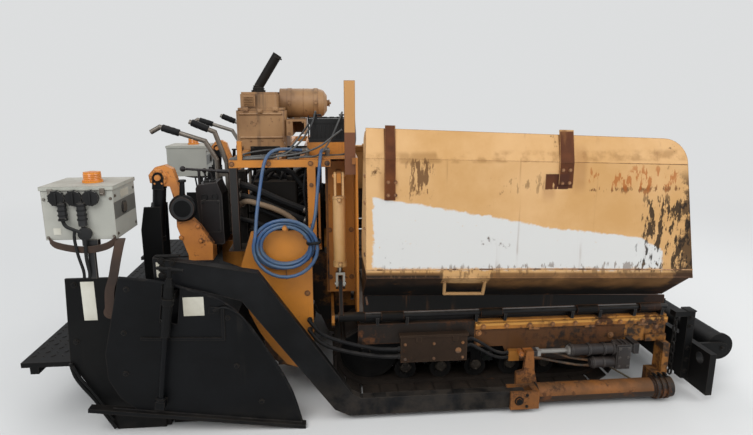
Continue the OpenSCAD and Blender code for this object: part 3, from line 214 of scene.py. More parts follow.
def piece(name, draw, body, material, side=LEFT):
    """Makes one piece that rides on a body. It is drawn on the left and turned over for the right side."""
    bm = bmesh.new()
    draw(bm)
    if side == RIGHT:
        bmesh.ops.scale(bm, vec=(1, -1, 1), verts=bm.verts)
        bmesh.ops.reverse_faces(bm, faces=bm.faces)
    bmesh.ops.recalc_face_normals(bm, faces=bm.faces)
    mesh = bpy.data.meshes.new(name)
    bm.to_mesh(mesh)
    bm.free()
    mesh.materials.append(MATERIALS[material])
    mesh.shade_smooth()
    mesh.set_sharp_from_angle(angle=SMOOTH_ANGLE)
    obj = bpy.data.objects.new(name, mesh)
    bpy.context.scene.collection.objects.link(obj)
    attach(obj, body)
    return obj


# Materials


def rgb(r, g, b):
    """A display colour, as it is seen in a picture, as a linear colour."""
    return tuple(c / 12.92 if c <= 0.04045 else ((c + 0.055) / 1.055) ** 2.4 for c in (r, g, b)) + (1.0,)


class Graph:
    """A short way to fill a tree with nodes. Any value may be a number, a linear colour or a socket."""

    def __init__(self, tree):
        self.tree = tree
        tree.nodes.clear()

    def add(self, kind, inputs=None, **props):
        node = self.tree.nodes.new("ShaderNode" + kind)
        for key, value in props.items():
            setattr(node, key, value)
        for key, value in (inputs or {}).items():
            self.feed(node.inputs[key], value)
        return node

    def feed(self, socket, value):
        if isinstance(value, bpy.types.NodeSocket):
            self.tree.links.new(value, socket)
        else:
            socket.default_value = value

    def math(self, operation, a, b=0.0, clamp=False):
        return self.add("Math", {0: a, 1: b}, operation=operation, use_clamp=clamp).outputs[0]

    def times(self, product, *factors):
        for factor in factors:
            product = self.math("MULTIPLY", product, factor)
        return product

    def plus(self, a, b):
        return self.math("ADD", a, b)

    def minus(self, a, b):
        return self.math("SUBTRACT", a, b)

    def mix(self, factor, a, b):
        """Mixes two colours."""
        return self.add("Mix", {0: factor, 6: a, 7: b}, data_type="RGBA").outputs[2]

    def tint(self, color, shade, *masks):
        """Lays a display colour over a colour where every mask is 1."""
        return self.mix(self.times(*masks), color, rgb(*shade))

    def blend(self, factor, a, b):
        """Mixes two numbers."""
        return self.add("Mix", {0: factor, 2: a, 3: b}, data_type="FLOAT").outputs[0]

    def above(self, value, low, high):
        """0 below low, 1 above high, smooth between them."""
        return self.add("MapRange", {"Value": value, "From Min": low, "From Max": high},
            interpolation_type="SMOOTHSTEP").outputs[0]

    def below(self, value, low, high):
        """1 below low, 0 above high, smooth between them."""
        return self.minus(1.0, self.above(value, low, high))

    def band(self, value, low, high, soft=0.003):
        """1 from low to high, 0 outside, with soft borders."""
        return self.times(self.above(value, low - soft, low + soft), self.below(value, high - soft, high + soft))

    def noise(self, vector, scale, detail=4.0, rough=0.55, stretch=None):
        if stretch:
            vector = self.add("Mapping", {"Vector": vector, "Scale": stretch}).outputs[0]
        return self.add("TexNoise", {"Vector": vector, "Scale": scale, "Detail": detail,
            "Roughness": rough}).outputs["Fac"]

    def vector(self, operation, a, b, output=0):
        return self.add("VectorMath", {0: a, 1: b}, operation=operation).outputs[output]

    def turn(self, vector, angle):
        """Turns a vector about the X axis."""
        return self.add("VectorRotate", {"Vector": vector, "Angle": angle}, rotation_type="X_AXIS").outputs[0]

    def split(self, vector):
        """The x, y and z of a vector."""
        return self.add("SeparateXYZ", {0: vector}).outputs

    def normal(self):
        return self.add("NewGeometry").outputs["Normal"]


def make_group(name, numbers, outputs, build):
    """A shader node group with number inputs, a Vector input and number outputs."""
    tree = bpy.data.node_groups.new(name, "ShaderNodeTree")
    tree.interface.new_socket("Vector", in_out="INPUT", socket_type="NodeSocketVector")
    for label, default in numbers.items():
        tree.interface.new_socket(label, in_out="INPUT", socket_type="NodeSocketFloat").default_value = default
    for label in outputs:
        tree.interface.new_socket(label, in_out="OUTPUT", socket_type="NodeSocketFloat")
    g = Graph(tree)
    start, end = tree.nodes.new("NodeGroupInput"), tree.nodes.new("NodeGroupOutput")
    for label, value in build(g, start.outputs).items():
        g.feed(end.inputs[label], value)
    return tree


def edge_wear(g, i):
    """Bare edges: where a rounded normal leaves the face's own, broken up by noise."""
    bevel = g.add("Bevel", {"Radius": i["Radius"]}, samples=4)
    edge = g.minus(1.0, g.vector("DOT_PRODUCT", bevel.outputs[0], g.normal(), "Value"))
    rough = g.noise(i["Vector"], i["Scale"], 5.0, 0.65)
    lifted = g.plus(g.times(edge, 5.0), g.times(g.minus(rough, 0.62), 2.6))
    mask = g.times(g.above(lifted, 0.0, 0.35), g.above(edge, 0.01, 0.05))
    return {"Mask": g.math("MULTIPLY", mask, i["Amount"], clamp=True)}


def patches(g, i):
    """Patches of rust or dirt with a fine ragged border."""
    broad = g.noise(i["Vector"], i["Scale"], 3.0, 0.5)
    fine = g.noise(i["Vector"], g.times(i["Scale"], 7.0), 6.0, 0.7)
    both = g.plus(g.times(broad, 0.62), g.times(fine, 0.38))
    edge = g.minus(0.78, g.times(i["Amount"], 0.5))
    return {"Mask": g.above(both, edge, g.plus(edge, 0.07)), "Height": fine}


def streaks(g, i):
    """Marks that run down from above."""
    long = g.noise(i["Vector"], i["Scale"], 4.0, 0.6, (1.0, 1.0, 0.06))
    breaks = g.noise(i["Vector"], g.times(i["Scale"], 0.35), 3.0)
    edge = g.minus(0.74, g.times(i["Amount"], 0.34))
    return {"Mask": g.times(g.above(long, edge, g.plus(edge, 0.16)), g.above(breaks, 0.38, 0.62))}


def settled(g, i):
    """Dust and mud: more of it low down and on faces that look up."""
    up, z = g.split(g.normal())["Z"], g.split(i["Vector"])["Z"]
    low = g.below(z, i["Low"], i["High"])
    both = g.plus(g.times(g.above(up, 0.35, 0.95), i["Top"]), g.times(low, i["Base"]))
    return {"Mask": g.math("MINIMUM", g.times(both, g.above(g.noise(i["Vector"], 9.0, 6.0, 0.68), 0.30, 0.66)), 0.94)}


GROUPS = {}


def build_groups():
    """The four kinds of wear that the finishes share."""
    for key, name, numbers, outputs, build in (
            ("wear", "Edge Wear", {"Radius": 0.006, "Scale": 22.0, "Amount": 0.8}, ["Mask"], edge_wear),
            ("patches", "Patches", {"Scale": 4.0, "Amount": 0.3}, ["Mask", "Height"], patches),
            ("streaks", "Streaks", {"Scale": 14.0, "Amount": 0.3}, ["Mask"], streaks),
            ("settled", "Settled Dust", {"Low": 0.0, "High": 0.5, "Top": 0.3, "Base": 0.4}, ["Mask"], settled)):
        GROUPS[key] = make_group(name, numbers, outputs, build)


def use(g, key, vector, **values):
    """Places one kind of wear in a tree and returns its outputs."""
    return g.add("Group", {"Vector": vector, **values}, node_tree=GROUPS[key]).outputs


# Display colours of what lies on the paint
RUST, RUST_DARK = (0.35, 0.215, 0.12), (0.165, 0.11, 0.075)
TAR, MUD, BARE = (0.085, 0.08, 0.075), (0.42, 0.38, 0.33), (0.42, 0.40, 0.38)


def worn_metal(name, color, faded, rough=0.5, metal=0.0, wear=0.7, edge=RUST, rust=0.25, rust_scale=4.0, tar=0.0,
        tar_scale=3.0, streak=0.25, streak_color=RUST_DARK, dust=0.35, dust_color=MUD, high=0.55, base=0.35,
        grain=0.3, mottle=3.0, coat=0.0, gloss=0.5, extra=None):
    """Paint or metal with fading, rust, tar, streaks, dust and bare edges, in display colours."""
    material = bpy.data.materials.new(name)
    material.use_nodes = True
    g = Graph(material.node_tree)
    shader = g.add("BsdfPrincipled", {"Metallic": metal, "Coat Weight": coat, "Specular IOR Level": gloss})
    g.add("OutputMaterial", {0: shader.outputs[0]})
    p = g.add("TexCoord").outputs["Object"]
    cloud = g.noise(p, mottle, 6.0, 0.62)
    c = g.mix(g.above(cloud, 0.32, 0.68), rgb(*color), rgb(*faded))
    roughness = g.blend(cloud, rough - 0.08, rough + 0.12)
    if extra:
        c = extra(g, p, c)
    if streak:
        c = g.tint(c, streak_color, use(g, "streaks", p, Amount=streak)["Mask"], 0.7)
    rusty = use(g, "patches", p, Scale=rust_scale, Amount=rust)
    tone = g.mix(g.above(g.noise(p, 30.0, 5.0), 0.35, 0.7), rgb(*RUST), rgb(*RUST_DARK))
    c = g.mix(rusty["Mask"], c, tone)
    roughness = g.blend(rusty["Mask"], roughness, 0.86)
    if tar:
        black = use(g, "patches", p, Scale=tar_scale, Amount=tar)["Mask"]
        c = g.tint(c, TAR, black, 0.92)
        roughness = g.blend(black, roughness, 0.5)
    if wear:
        c = g.tint(c, edge, use(g, "wear", p, Amount=wear)["Mask"])
    if dust:
        soft = use(g, "settled", p, Low=0.0, High=high, Top=dust, Base=base)["Mask"]
        c = g.tint(c, dust_color, soft)
        roughness = g.blend(soft, roughness, 0.92)
    height = g.plus(g.times(g.noise(p, 60.0, 6.0, 0.7), 0.35), g.times(rusty["Height"], rusty["Mask"], 0.9))
    bump = g.add("Bump", {"Strength": grain, "Distance": 0.002, "Height": height})
    for socket, value in (("Base Color", c), ("Roughness", roughness), ("Normal", bump.outputs[0])):
        g.feed(shader.inputs[socket], value)
    return material


# The stripe's ends along the wing, its upper edge as x and z, and the height that its curve is drawn in, in metres
STRIPE_X0, STRIPE_X1, CURVE_TOP = -0.186, 1.299, 1.5
STRIPE_TOP = ((-0.186, 1.182), (-0.054, 1.166), (0.285, 1.101), (0.739, 1.013), (1.155, 0.963), (1.285, 0.887),
    (1.299, 0.80))
# The bend under the stripe falls by this much a metre
BEND_FALL = 0.03


def stripe_top(g, x):
    """The height of the stripe's upper edge at a place along the wing."""
    curve = g.add("FloatCurve")
    span = STRIPE_X1 - STRIPE_X0
    first, *middle, last = (((px - STRIPE_X0) / span, pz / CURVE_TOP) for px, pz in STRIPE_TOP)
    spots = curve.mapping.curves[0].points
    spots[0].location, spots[-1].location = first, last
    for spot in middle:
        spots.new(*spot)
    for spot in spots:
        spot.handle_type = "VECTOR"
    curve.mapping.update()
    g.feed(curve.inputs["Value"], g.math("DIVIDE", g.minus(x, STRIPE_X0), span))
    return g.times(curve.outputs[0], CURVE_TOP)


def wing_marks(fold, side, stripe):
    """What is seen on a wing's outer side, placed as if it stood upright: the broad stripe, painted shade in the
    undercut, grime, flakes, the two straps and the rust that has run down from them."""

    def extra(g, p, c):
        hinge = (0.0, side * HINGE_Y, HINGE_Z)
        at = g.vector("ADD", g.turn(g.vector("SUBTRACT", p, hinge), -fold * side), hinge)
        x, y, z = g.split(at)
        outer = g.above(g.times(g.split(g.turn(g.normal(), -fold * side))["Y"], float(side)), 0.1, 0.3)
        # paint darker towards the bottom of the wing, and in patches along the lip
        c = g.tint(c, (0.40, 0.30, 0.20), g.below(z, 0.66, 0.84), 0.55, outer)
        lip = g.times(g.above(z, 1.33, 1.345), g.below(z, 1.375, 1.40))
        c = g.tint(c, (0.52, 0.37, 0.20), lip, 0.5, g.above(g.noise(at, 12.0, 5.0), 0.42, 0.6))
        # painted shade in the undercut: brown just under the bend, then black down to the hinge, and black all along
        # its rear; the handle, which stands out, is left out of it
        depth = g.minus(g.minus(0.812, g.times(x, BEND_FALL)), z)
        handle = g.times(g.band(x, 0.16, 0.40), g.above(
            g.minus(g.times(y, float(side)), g.times(g.minus(z, 0.66), 0.25)), 1.2110, 1.2130))
        bare = g.minus(1.0, handle)
        c = g.tint(c, (0.42, 0.28, 0.14), g.above(depth, 0.0, 0.012), 0.8, bare)
        rear = g.below(g.plus(x, g.times(g.noise(at, 5.0, 4.0), 0.3)), 0.30, 0.52)
        c = g.tint(c, (0.085, 0.07, 0.055), g.above(depth, 0.004, 0.03), rear, bare)
        # painted shade, darker the deeper under the bend
        shade_under_bend = g.plus(depth, g.times(g.minus(g.noise(at, 7.0, 5.0), 0.5), 0.12))
        c = g.tint(c, (0.05, 0.045, 0.04), g.above(shade_under_bend, 0.03, 0.15), bare)
        # the stripe, with a ragged border and chips
        ragged = g.times(g.minus(g.noise(at, 26.0, 6.0, 0.7), 0.5), 0.05)
        under_top = g.above(g.minus(g.plus(stripe_top(g, x), ragged), z), 0.0, 0.012)
        bend = g.plus(ragged, g.minus(0.815, g.times(x, BEND_FALL)))
        over_bend = g.above(g.minus(z, bend), 0.0, 0.02)
        along = g.plus(x, ragged)
        ends = g.times(g.above(along, STRIPE_X0, STRIPE_X0 + 0.01), g.below(along, STRIPE_X1 - 0.02, STRIPE_X1))
        whole = g.below(g.noise(at, 34.0, 6.0, 0.72), 0.66, 0.72)
        c = g.tint(c, stripe, under_top, over_bend, ends, whole, outer)
        # grime over the lower edge, flakes at the front edge and the two rusty straps
        grime = g.times(g.band(z, 0.715, 0.775, 0.025), g.above(g.noise(at, 9.0, 6.0, 0.7), 0.36, 0.56))
        c = g.tint(c, (0.23, 0.16, 0.11), grime, 0.6)
        flakes = g.above(g.plus(x, g.times(g.noise(at, 17.0, 6.0, 0.72), 0.36)), 1.53, 1.58)
        c = g.tint(c, (0.16, 0.10, 0.07), flakes, g.below(z, 1.20, 1.32), 0.85)
        for x0, x1, z0, z1 in ((-0.128, -0.076, 1.164, 1.53), (0.714, 0.786, 1.209, 1.48)):
            tone = g.mix(g.noise(at, 20.0, 5.0), rgb(0.20, 0.10, 0.06), rgb(0.42, 0.24, 0.13))
            c = g.mix(g.times(g.band(x, x0, x1), g.band(z, z0, z1), outer), c, tone)
        # flecks beside the straps and over the stripe, with their place, border, how torn and strong they are
        torn_by = g.noise(at, 44.0, 5.0, 0.65, (1.0, 1.0, 0.3))
        for x0, x1, z0, z1, soft, low, share, shade in (
                (-0.02, 0.12, 1.16, 1.37, 0.04, 0.50, 0.8, (0.30, 0.18, 0.10)),
                (0.86, 1.36, 1.18, 1.22, 0.02, 0.48, 0.8, (0.34, 0.19, 0.09)),
                (0.84, 1.34, 1.17, 1.32, 0.05, 0.53, 0.75, (0.62, 0.34, 0.13)),
                (0.36, 0.66, 1.18, 1.28, 0.05, 0.52, 0.6, (0.42, 0.32, 0.20)),
                (1.14, 1.50, 0.76, 1.17, 0.05, 0.50, 0.92, (0.12, 0.09, 0.07)),
                (-0.16, 1.30, 0.76, 0.84, 0.02, 0.52, 0.6, (0.36, 0.27, 0.18)),
                (0.65, 0.765, 1.205, 1.28, 0.003, 0.34, 1.0, (0.27, 0.15, 0.10))):
            mark = g.times(g.band(x, x0, x1, soft), g.band(z, z0, z1, soft))
            torn = g.above(g.plus(torn_by, g.times(g.minus(mark, 1.0), 0.2)), low, low + 0.05)
            c = g.tint(c, shade, mark, torn, outer, share)
        # rust that has run down under the straps and the dents along the lip
        for x0, x1, z0, z1 in ((-0.15, -0.07, 1.20, 1.30), (0.64, 0.70, 1.16, 1.27), (0.79, 0.85, 1.20, 1.40)):
            c = g.tint(c, (0.45, 0.26, 0.12), g.band(x, x0, x1, 0.015), g.band(z, z0, z1, 0.04), outer, 0.3)
        return c

    return extra


def zones(*rows):
    """Colours by place on one node. Each row is a colour and its spans of x, of the distance from the middle and of
    z in metres, or None where there is no limit."""

    def extra(g, p, c):
        x, y, z = g.split(p)
        places = (x, g.math("ABSOLUTE", y), z)
        for color, *spans in rows:
            c = g.tint(c, color, *(g.band(value, *span, 0.0008) for value, span in zip(places, spans) if span))
        return c

    return extra


MATERIALS = {}


def build_materials(colors):
    """Makes every finish. Each row is a key, a name, the paint, what it fades to, and how it is worn."""

    def add(key, name, color, faded, **look):
        MATERIALS[key] = worn_metal(name, color, faded, **look)

    tan, orange, black = colors.tan, colors.orange, colors.black
    orange_faded, black_part, bay_shade = (0.66, 0.42, 0.16), (0.06, 0.06, 0.065), (0.075, 0.065, 0.055)
    dull = {"gloss": 0.13}
    for side in (RIGHT, LEFT):
        add("wing_" + SIDE[side], "Wing Paint " + SIDE[side], tan, (0.74, 0.57, 0.36), rough=0.52, rust=0.27,
            rust_scale=5.0, streak=0.42, streak_color=(0.46, 0.30, 0.17), dust=0.22, base=0.0,
            dust_color=(0.33, 0.26, 0.18), mottle=2.2, grain=0.25, wear=0.85, gloss=0.15,
            extra=wing_marks(WING_FOLD if side == LEFT else 0.0, side, colors.stripe))
        add("trim_" + SIDE[side], "Wing Trim Paint " + SIDE[side], tan, (0.52, 0.33, 0.18), rust=0.55,
            rust_scale=16.0, streak=0.4, dust=0.3, base=0.2)
    add("tan", "Tan Paint", tan, (0.74, 0.57, 0.34), rust=0.28, rust_scale=7.0, streak=0.5, tar=0.12, tar_scale=6.0)
    add("orange", "Orange Paint", orange, orange_faded, rust=0.35, rust_scale=5.0, streak=0.4, tar=0.25,
        tar_scale=4.0, wear=0.8)
    add("orange_dirty", "Orange Paint Sooty", (0.62, 0.40, 0.17), (0.36, 0.24, 0.13), rust=0.5, tar=0.5, streak=0.6)
    add("orange_post", "Post Paint", (0.78, 0.50, 0.22), (0.64, 0.39, 0.19), rust=0.4, rust_scale=8.0, streak=0.3,
        tar=0.1, tar_scale=8.0, extra=zones((black_part, (-1.23, -1.08), (0.8556, 0.94), (0.99, 1.14))))
    add("black", "Black Iron", black, (0.065, 0.064, 0.062), rust=0.22, rust_scale=5.0, streak=0.3,
        streak_color=(0.15, 0.13, 0.115), dust=0.26, dust_color=(0.19, 0.175, 0.16), edge=(0.19, 0.17, 0.15),
        wear=0.6, high=0.22, grain=0.5, **dull)
    add("black_clean", "Black Paint", black, (0.09, 0.092, 0.098), rough=0.38, rust=0.12, rust_scale=8.0,
        streak=0.15, dust=0.25, dust_color=(0.23, 0.205, 0.18), edge=(0.30, 0.28, 0.26), wear=0.5, base=0.75,
        high=0.30, grain=0.25, **dull)
    add("rust", "Rusty Steel", (0.30, 0.20, 0.14), (0.22, 0.15, 0.12), rough=0.75, rust=0.5, rust_scale=6.0,
        streak=0.3, tar=0.3, tar_scale=5.0, wear=0.5, edge=(0.40, 0.34, 0.29), grain=0.7)
    # the track steel's worn edges are real wear, coloured nearly as dark as the steel itself as painted shade under
    # the machine
    add("shoe", "Track Steel", (0.11, 0.095, 0.085), (0.17, 0.145, 0.125), rough=0.7, rust=0.4, rust_scale=9.0,
        dust=0.4, base=0.5, high=0.12, dust_color=(0.20, 0.17, 0.145), wear=0.4, edge=(0.15, 0.13, 0.115),
        grain=0.6, **dull)
    add("chute", "Worn Hopper Plate", (0.27, 0.26, 0.25), (0.36, 0.34, 0.32), rough=0.45, metal=0.5, rust=0.3,
        tar=0.45, wear=0.4, edge=BARE, grain=0.5, extra=zones(
            ((0.03, 0.03, 0.034), None, (0.985, 1.10), (0.38, 0.54))))
    add("steel", "Bare Steel", (0.52, 0.50, 0.47), (0.42, 0.38, 0.34), rough=0.42, metal=0.8, rust=0.3,
        rust_scale=12.0, streak=0.2, dust=0.25, wear=0.0)
    add("chrome", "Cylinder Rod", (0.66, 0.65, 0.62), (0.56, 0.54, 0.50), rough=0.25, metal=1.0, rust=0.14,
        rust_scale=14.0, streak=0.0, dust=0.12, wear=0.0, grain=0.1)
    add("grey", "Grey Box", colors.grey, (0.60, 0.60, 0.565), rust=0.10, rust_scale=9.0, streak=0.35,
        streak_color=(0.40, 0.38, 0.34), dust=0.3, wear=0.6, edge=(0.40, 0.37, 0.33), grain=0.2, extra=zones(
            ((0.64, 0.64, 0.60), None, None, (1.2215, 1.2396)), (black_part, None, (1.2066, 1.30), (0.98, 1.21)),
            (black_part, (-1.3862, -1.37), None, (1.08, 1.16)), (black_part, None, None, (0.70, 0.9868)),
            (colors.beacon, None, None, (1.2396, 1.40))))
    add("grey_dark", "Gear Housing", (0.145, 0.13, 0.13), (0.10, 0.09, 0.09), gloss=0.3, rough=0.45, rust=0.3,
        dust_color=(0.27, 0.23, 0.20), rust_scale=9.0, tar=0.3, tar_scale=8.0, streak=0.3, dust=0.4, wear=0.6,
        edge=BARE, extra=zones(((0.62, 0.36, 0.12), (0.58, 0.70), None, None),
            ((0.50, 0.49, 0.47), (0.721, 0.907), None, (0.26, 0.31))))
    add("engine", "Engine Iron", (0.085, 0.078, 0.072), (0.13, 0.115, 0.10), rough=0.55, rust=0.3, rust_scale=9.0,
        tar=0.35, tar_scale=6.0, streak=0.2, wear=0.6, edge=(0.34, 0.31, 0.28), **dull)
    add("rubber", "Hose Rubber", (0.07, 0.07, 0.074), (0.11, 0.11, 0.112), rust=0.0, streak=0.0, dust=0.5,
        dust_color=(0.30, 0.28, 0.26), wear=0.0, grain=0.15, base=0.2, **dull)
    add("hose_tan", "Hose Sleeve Tan", (0.52, 0.43, 0.33), (0.40, 0.33, 0.26), rough=0.7, rust=0.1, streak=0.2,
        dust=0.3, wear=0.0, grain=0.4)
    add("blue", "Blue Hose", colors.blue, (0.27, 0.35, 0.43), rough=0.38, rust=0.0, streak_color=(0.16, 0.20, 0.28),
        dust=0.22, dust_color=(0.45, 0.48, 0.52), wear=0.0, grain=0.12, base=0.0, mottle=9.0)
    add("pad", "Dull Plastic", (0.11, 0.11, 0.11), (0.16, 0.16, 0.16), rough=0.6, rust=0.0, streak=0.2, dust=0.5,
        dust_color=(0.34, 0.33, 0.31), wear=0.0, grain=0.2, **dull)
    add("beacon", "Amber Lens", colors.beacon, (0.72, 0.40, 0.09), rough=0.3, rust=0.0, streak=0.2, dust=0.15,
        wear=0.0, grain=0.05, coat=0.5)
    add("label", "Blank Label", (0.78, 0.77, 0.72), (0.66, 0.64, 0.58), rust=0.12, rust_scale=20.0, tar=0.15,
        tar_scale=16.0, streak=0.3, dust=0.2, wear=0.0, grain=0.05)
    add("gate", "Gate Black", (0.03, 0.032, 0.036), (0.055, 0.058, 0.066), rough=0.4, rust=0.15, rust_scale=6.0,
        streak=0.35, streak_color=(0.13, 0.12, 0.11), dust=0.25, dust_color=(0.21, 0.19, 0.17),
        edge=(0.22, 0.20, 0.18), wear=0.6, base=0.3, high=0.16, **dull)
    add("olive", "Olive Brace", (0.33, 0.29, 0.17), (0.25, 0.22, 0.14), rust=0.4, rust_scale=12.0, tar=0.3,
        tar_scale=9.0, dust=0.3)
    add("wire", "Wire Jacket", (0.34, 0.34, 0.33), (0.17, 0.17, 0.17), rust=0.0, streak=0.0, dust=0.3, wear=0.0,
        grain=0.1, mottle=5.0)
    add("strap", "Slack Strap", (0.26, 0.18, 0.13), (0.17, 0.125, 0.10), rough=0.8, rust=0.3, rust_scale=14.0,
        streak=0.4, dust=0.3, wear=0.0, grain=0.6)
    add("post_tall", "Bulkhead Paint", orange, orange_faded, rust=0.38, rust_scale=5.0, streak=0.45, tar=0.3,
        tar_scale=4.0, wear=0.8, extra=zones(
            ((0.72, 0.53, 0.31), (-0.31, -0.243), (0.88, 0.94), (1.46, 1.75)),
            ((0.42, 0.25, 0.14), (-0.31, -0.243), (0.88, 0.94), (1.24, 1.46))))
    # main frame: near black below the deck and round the side opening by the side box, as painted shade
    add("frame", "Main Frame Paint", (0.66, 0.43, 0.17), (0.42, 0.27, 0.12), rust=0.5, gloss=0.25,
        dust_color=(0.27, 0.19, 0.11), tar=0.55, streak=0.65, extra=zones(
            ((0.74, 0.53, 0.25), (0.398, 1.51), (1.03, 1.07), (0.418, 0.44)),
            ((0.31, 0.19, 0.085), (0.398, 1.26), (1.03, 1.052), (0.18, 0.396)),
            ((0.10, 0.07, 0.05), (-0.40, 0.397), (0.99, 1.07), (0.30, 0.45)),
            ((0.10, 0.08, 0.065), None, (0.0, 1.03), (0.0, 0.40))))
    add("hood", "Hood Paint", (0.62, 0.47, 0.31), (0.50, 0.36, 0.22), rust=0.34, rust_scale=7.0, streak=0.6,
        tar=0.25, tar_scale=6.0, dust=0.3)
    # the tow link tube is dark brown below its centre line: painted shade on its underside
    add("link", "Tow Link Paint", (0.54, 0.33, 0.14), (0.36, 0.23, 0.12), gloss=0.25, dust_color=(0.27, 0.20, 0.13),
        rust=0.5, rust_scale=7.0, streak=0.3, tar=0.4, tar_scale=4.0, extra=zones(
            ((0.14, 0.10, 0.075), (0.62, 1.40), (1.12, 1.26), (0.0, 0.080)),
            (black_part, (1.352, 1.50), (1.10, 1.26), None)))
    add("box_brown", "Side Box Paint", (0.20, 0.145, 0.105), (0.14, 0.105, 0.08), rough=0.7, rust=0.4,
        rust_scale=6.0, streak=0.3, tar=0.3, tar_scale=5.0, wear=0.5, dust=0.2, dust_color=(0.27, 0.21, 0.16),
        edge=(0.36, 0.29, 0.23), grain=0.7, **dull)
    add("bay", "Bay Frame Paint", orange, orange_faded, rust=0.35, rust_scale=5.0, streak=0.5, tar=0.3,
        tar_scale=4.0, wear=0.8, extra=zones(
            (bay_shade, (-0.94, -0.62), None, (0.80, 1.2755)), (bay_shade, None, (0.0, 0.836), (1.0, 1.2755))))


# Which nodes wear which finish. A name with {} stands for both sides.
FINISH = {
    "frame": "main_frame", "orange": "side_plates", "chute": "hopper_floor slat_conveyor", "post_tall": "bulkhead",
    "shoe": "track_{}", "link": "tow_links", "grey_dark": "tow_actuators console", "orange_dirty": "auger_drive",
    "black": "track_gear push_beam push_roller_{} rear_deck screed walkway extension_{}", "rust": "auger_{}",
    "engine": "engine exhaust tanks", "hood": "engine_hood air_cleaner", "pad": "battery", "bay": "bay_frame",
    "steel": "handrails", "orange_post": "lift_posts", "rubber": "hydraulic_hoses", "box_brown": "side_boxes",
    "wing_right": "wing_right", "wing_left": "wing_left", "tan": "wing_barrel_{}",
    "chrome": "wing_rod_{} lift_rod_{}", "black_clean": "tow_arms lift_barrel_{}", "grey": "control_box_{}",
    "gate": "end_gate_{}", "blue": "blue_hose_coil blue_hose_lead",
}


def dress_nodes():
    """Gives each node of the frame its finish."""
    for finish, names in FINISH.items():
        for name in names.split():
            for node in dict.fromkeys(name.format(side) for side in SIDE.values()):
                materials = NODES[node].data.materials
                materials.clear()
                materials.append(MATERIALS[finish])


# Stage. The floor fades into the pale surroundings between two distances from the middle.

PALE = (0.72, 0.73, 0.735, 1)
FADE_FROM, FADE_TO = 2.6, 8.0
FLOOR_HALF, FLOOR_DROP = 60, 0.0005
LAMP_SIZE, FILL_POWER, RIM_POWER = 6.0, 250.0, 240.0
CAMERA_AT, CAMERA_YAW, CAMERA_DOWN = (-0.40, -3.86, 1.65), math.radians(5.2), math.radians(12.34)
SENSOR, FOCAL_PIXELS, PICTURE_PIXELS = 36.0, 560.0, 753.0


def build_stage(sizes):
    """The floor, the surroundings and three soft lamps."""
    paint = bpy.data.materials.new("Pale Floor")
    paint.use_nodes = True
    g = Graph(paint.node_tree)
    near = g.add("BsdfDiffuse", {"Color": (0.66, 0.66, 0.65, 1)})
    far = g.add("Emission", {"Color": PALE, "Strength": 1.0})
    reach = g.vector("LENGTH", g.add("TexCoord").outputs["Object"], (0, 0, 0), "Value")
    seen = g.times(g.above(reach, FADE_FROM, FADE_TO), g.add("LightPath").outputs["Is Camera Ray"])
    mix = g.add("MixShader", {0: seen, 1: near.outputs[0], 2: far.outputs[0]})
    g.add("OutputMaterial", {0: mix.outputs[0]})
    bm = bmesh.new()
    bmesh.ops.create_grid(bm, x_segments=1, y_segments=1, size=FLOOR_HALF)
    mesh = bpy.data.meshes.new("floor")
    bm.to_mesh(mesh)
    bm.free()
    mesh.materials.append(paint)
    floor = bpy.data.objects.new("floor", mesh)
    bpy.context.scene.collection.objects.link(floor)
    floor.location.z = -FLOOR_DROP

    world = bpy.data.worlds.new("Soft Sky")
    bpy.context.scene.world = world
    world.use_nodes = True
    g = Graph(world.node_tree)
    light = g.add("Background", {"Color": (0.93, 0.96, 1.0, 1), "Strength": 0.72})
    seen = g.add("Background", {"Color": PALE, "Strength": 1.0})
    camera_ray = g.add("LightPath").outputs["Is Camera Ray"]
    shader = g.add("MixShader", {0: camera_ray, 1: light.outputs[0], 2: seen.outputs[0]})
    g.add("OutputWorld", {0: shader.outputs[0]})

    for name, at, aim_z, power in (("key", (-3.5, -6.5, 7.0), 0.6, sizes.lamp_power),
            ("fill", (6.0, -4.0, 4.0), 0.6, FILL_POWER), ("rim", (1.0, 7.0, 5.5), 0.8, RIM_POWER)):
        data = bpy.data.lights.new(name, "AREA")
        data.shape = "DISK"
        data.size = LAMP_SIZE
        data.energy = power
        lamp = bpy.data.objects.new(name, data)
        bpy.context.scene.collection.objects.link(lamp)
        lamp.location = at
        lamp.rotation_euler = (Vector((0, 0, aim_z)) - Vector(at)).to_track_quat("-Z", "Y").to_euler()


def build_camera():
    """The camera that was fitted to the photograph."""
    data = bpy.data.cameras.new("view")
    data.sensor_width = SENSOR
    data.lens = SENSOR * FOCAL_PIXELS / PICTURE_PIXELS
    data.clip_start, data.clip_end = 0.05, 200.0
    camera = bpy.data.objects.new("view", data)
    bpy.context.scene.collection.objects.link(camera)
    camera.location = CAMERA_AT
    camera.rotation_euler = (math.pi / 2 - CAMERA_DOWN, 0.0, -CAMERA_YAW)
    bpy.context.scene.camera = camera
    bpy.context.scene.view_settings.view_transform = "Standard"


# Pieces. Each is drawn on the left side in millimetres.


def fold_wing(bm, fold):
    """Turns all that is drawn about the wing's hinge."""
    put(bm, bm.verts, Matrix.Translation((0, HINGE_Y, HINGE_Z)) @ Matrix.Rotation(fold, 4, "X")
        @ Matrix.Translation((0, -HINGE_Y, -HINGE_Z)))


def tilt_gate(bm):
    """Turns all that is drawn about the end gate's nose."""
    put(bm, bm.verts, Matrix.Translation(GATE_NOSE) @ Matrix.Rotation(GATE_TILT, 4, "Y")
        @ Matrix.Translation(-GATE_NOSE))


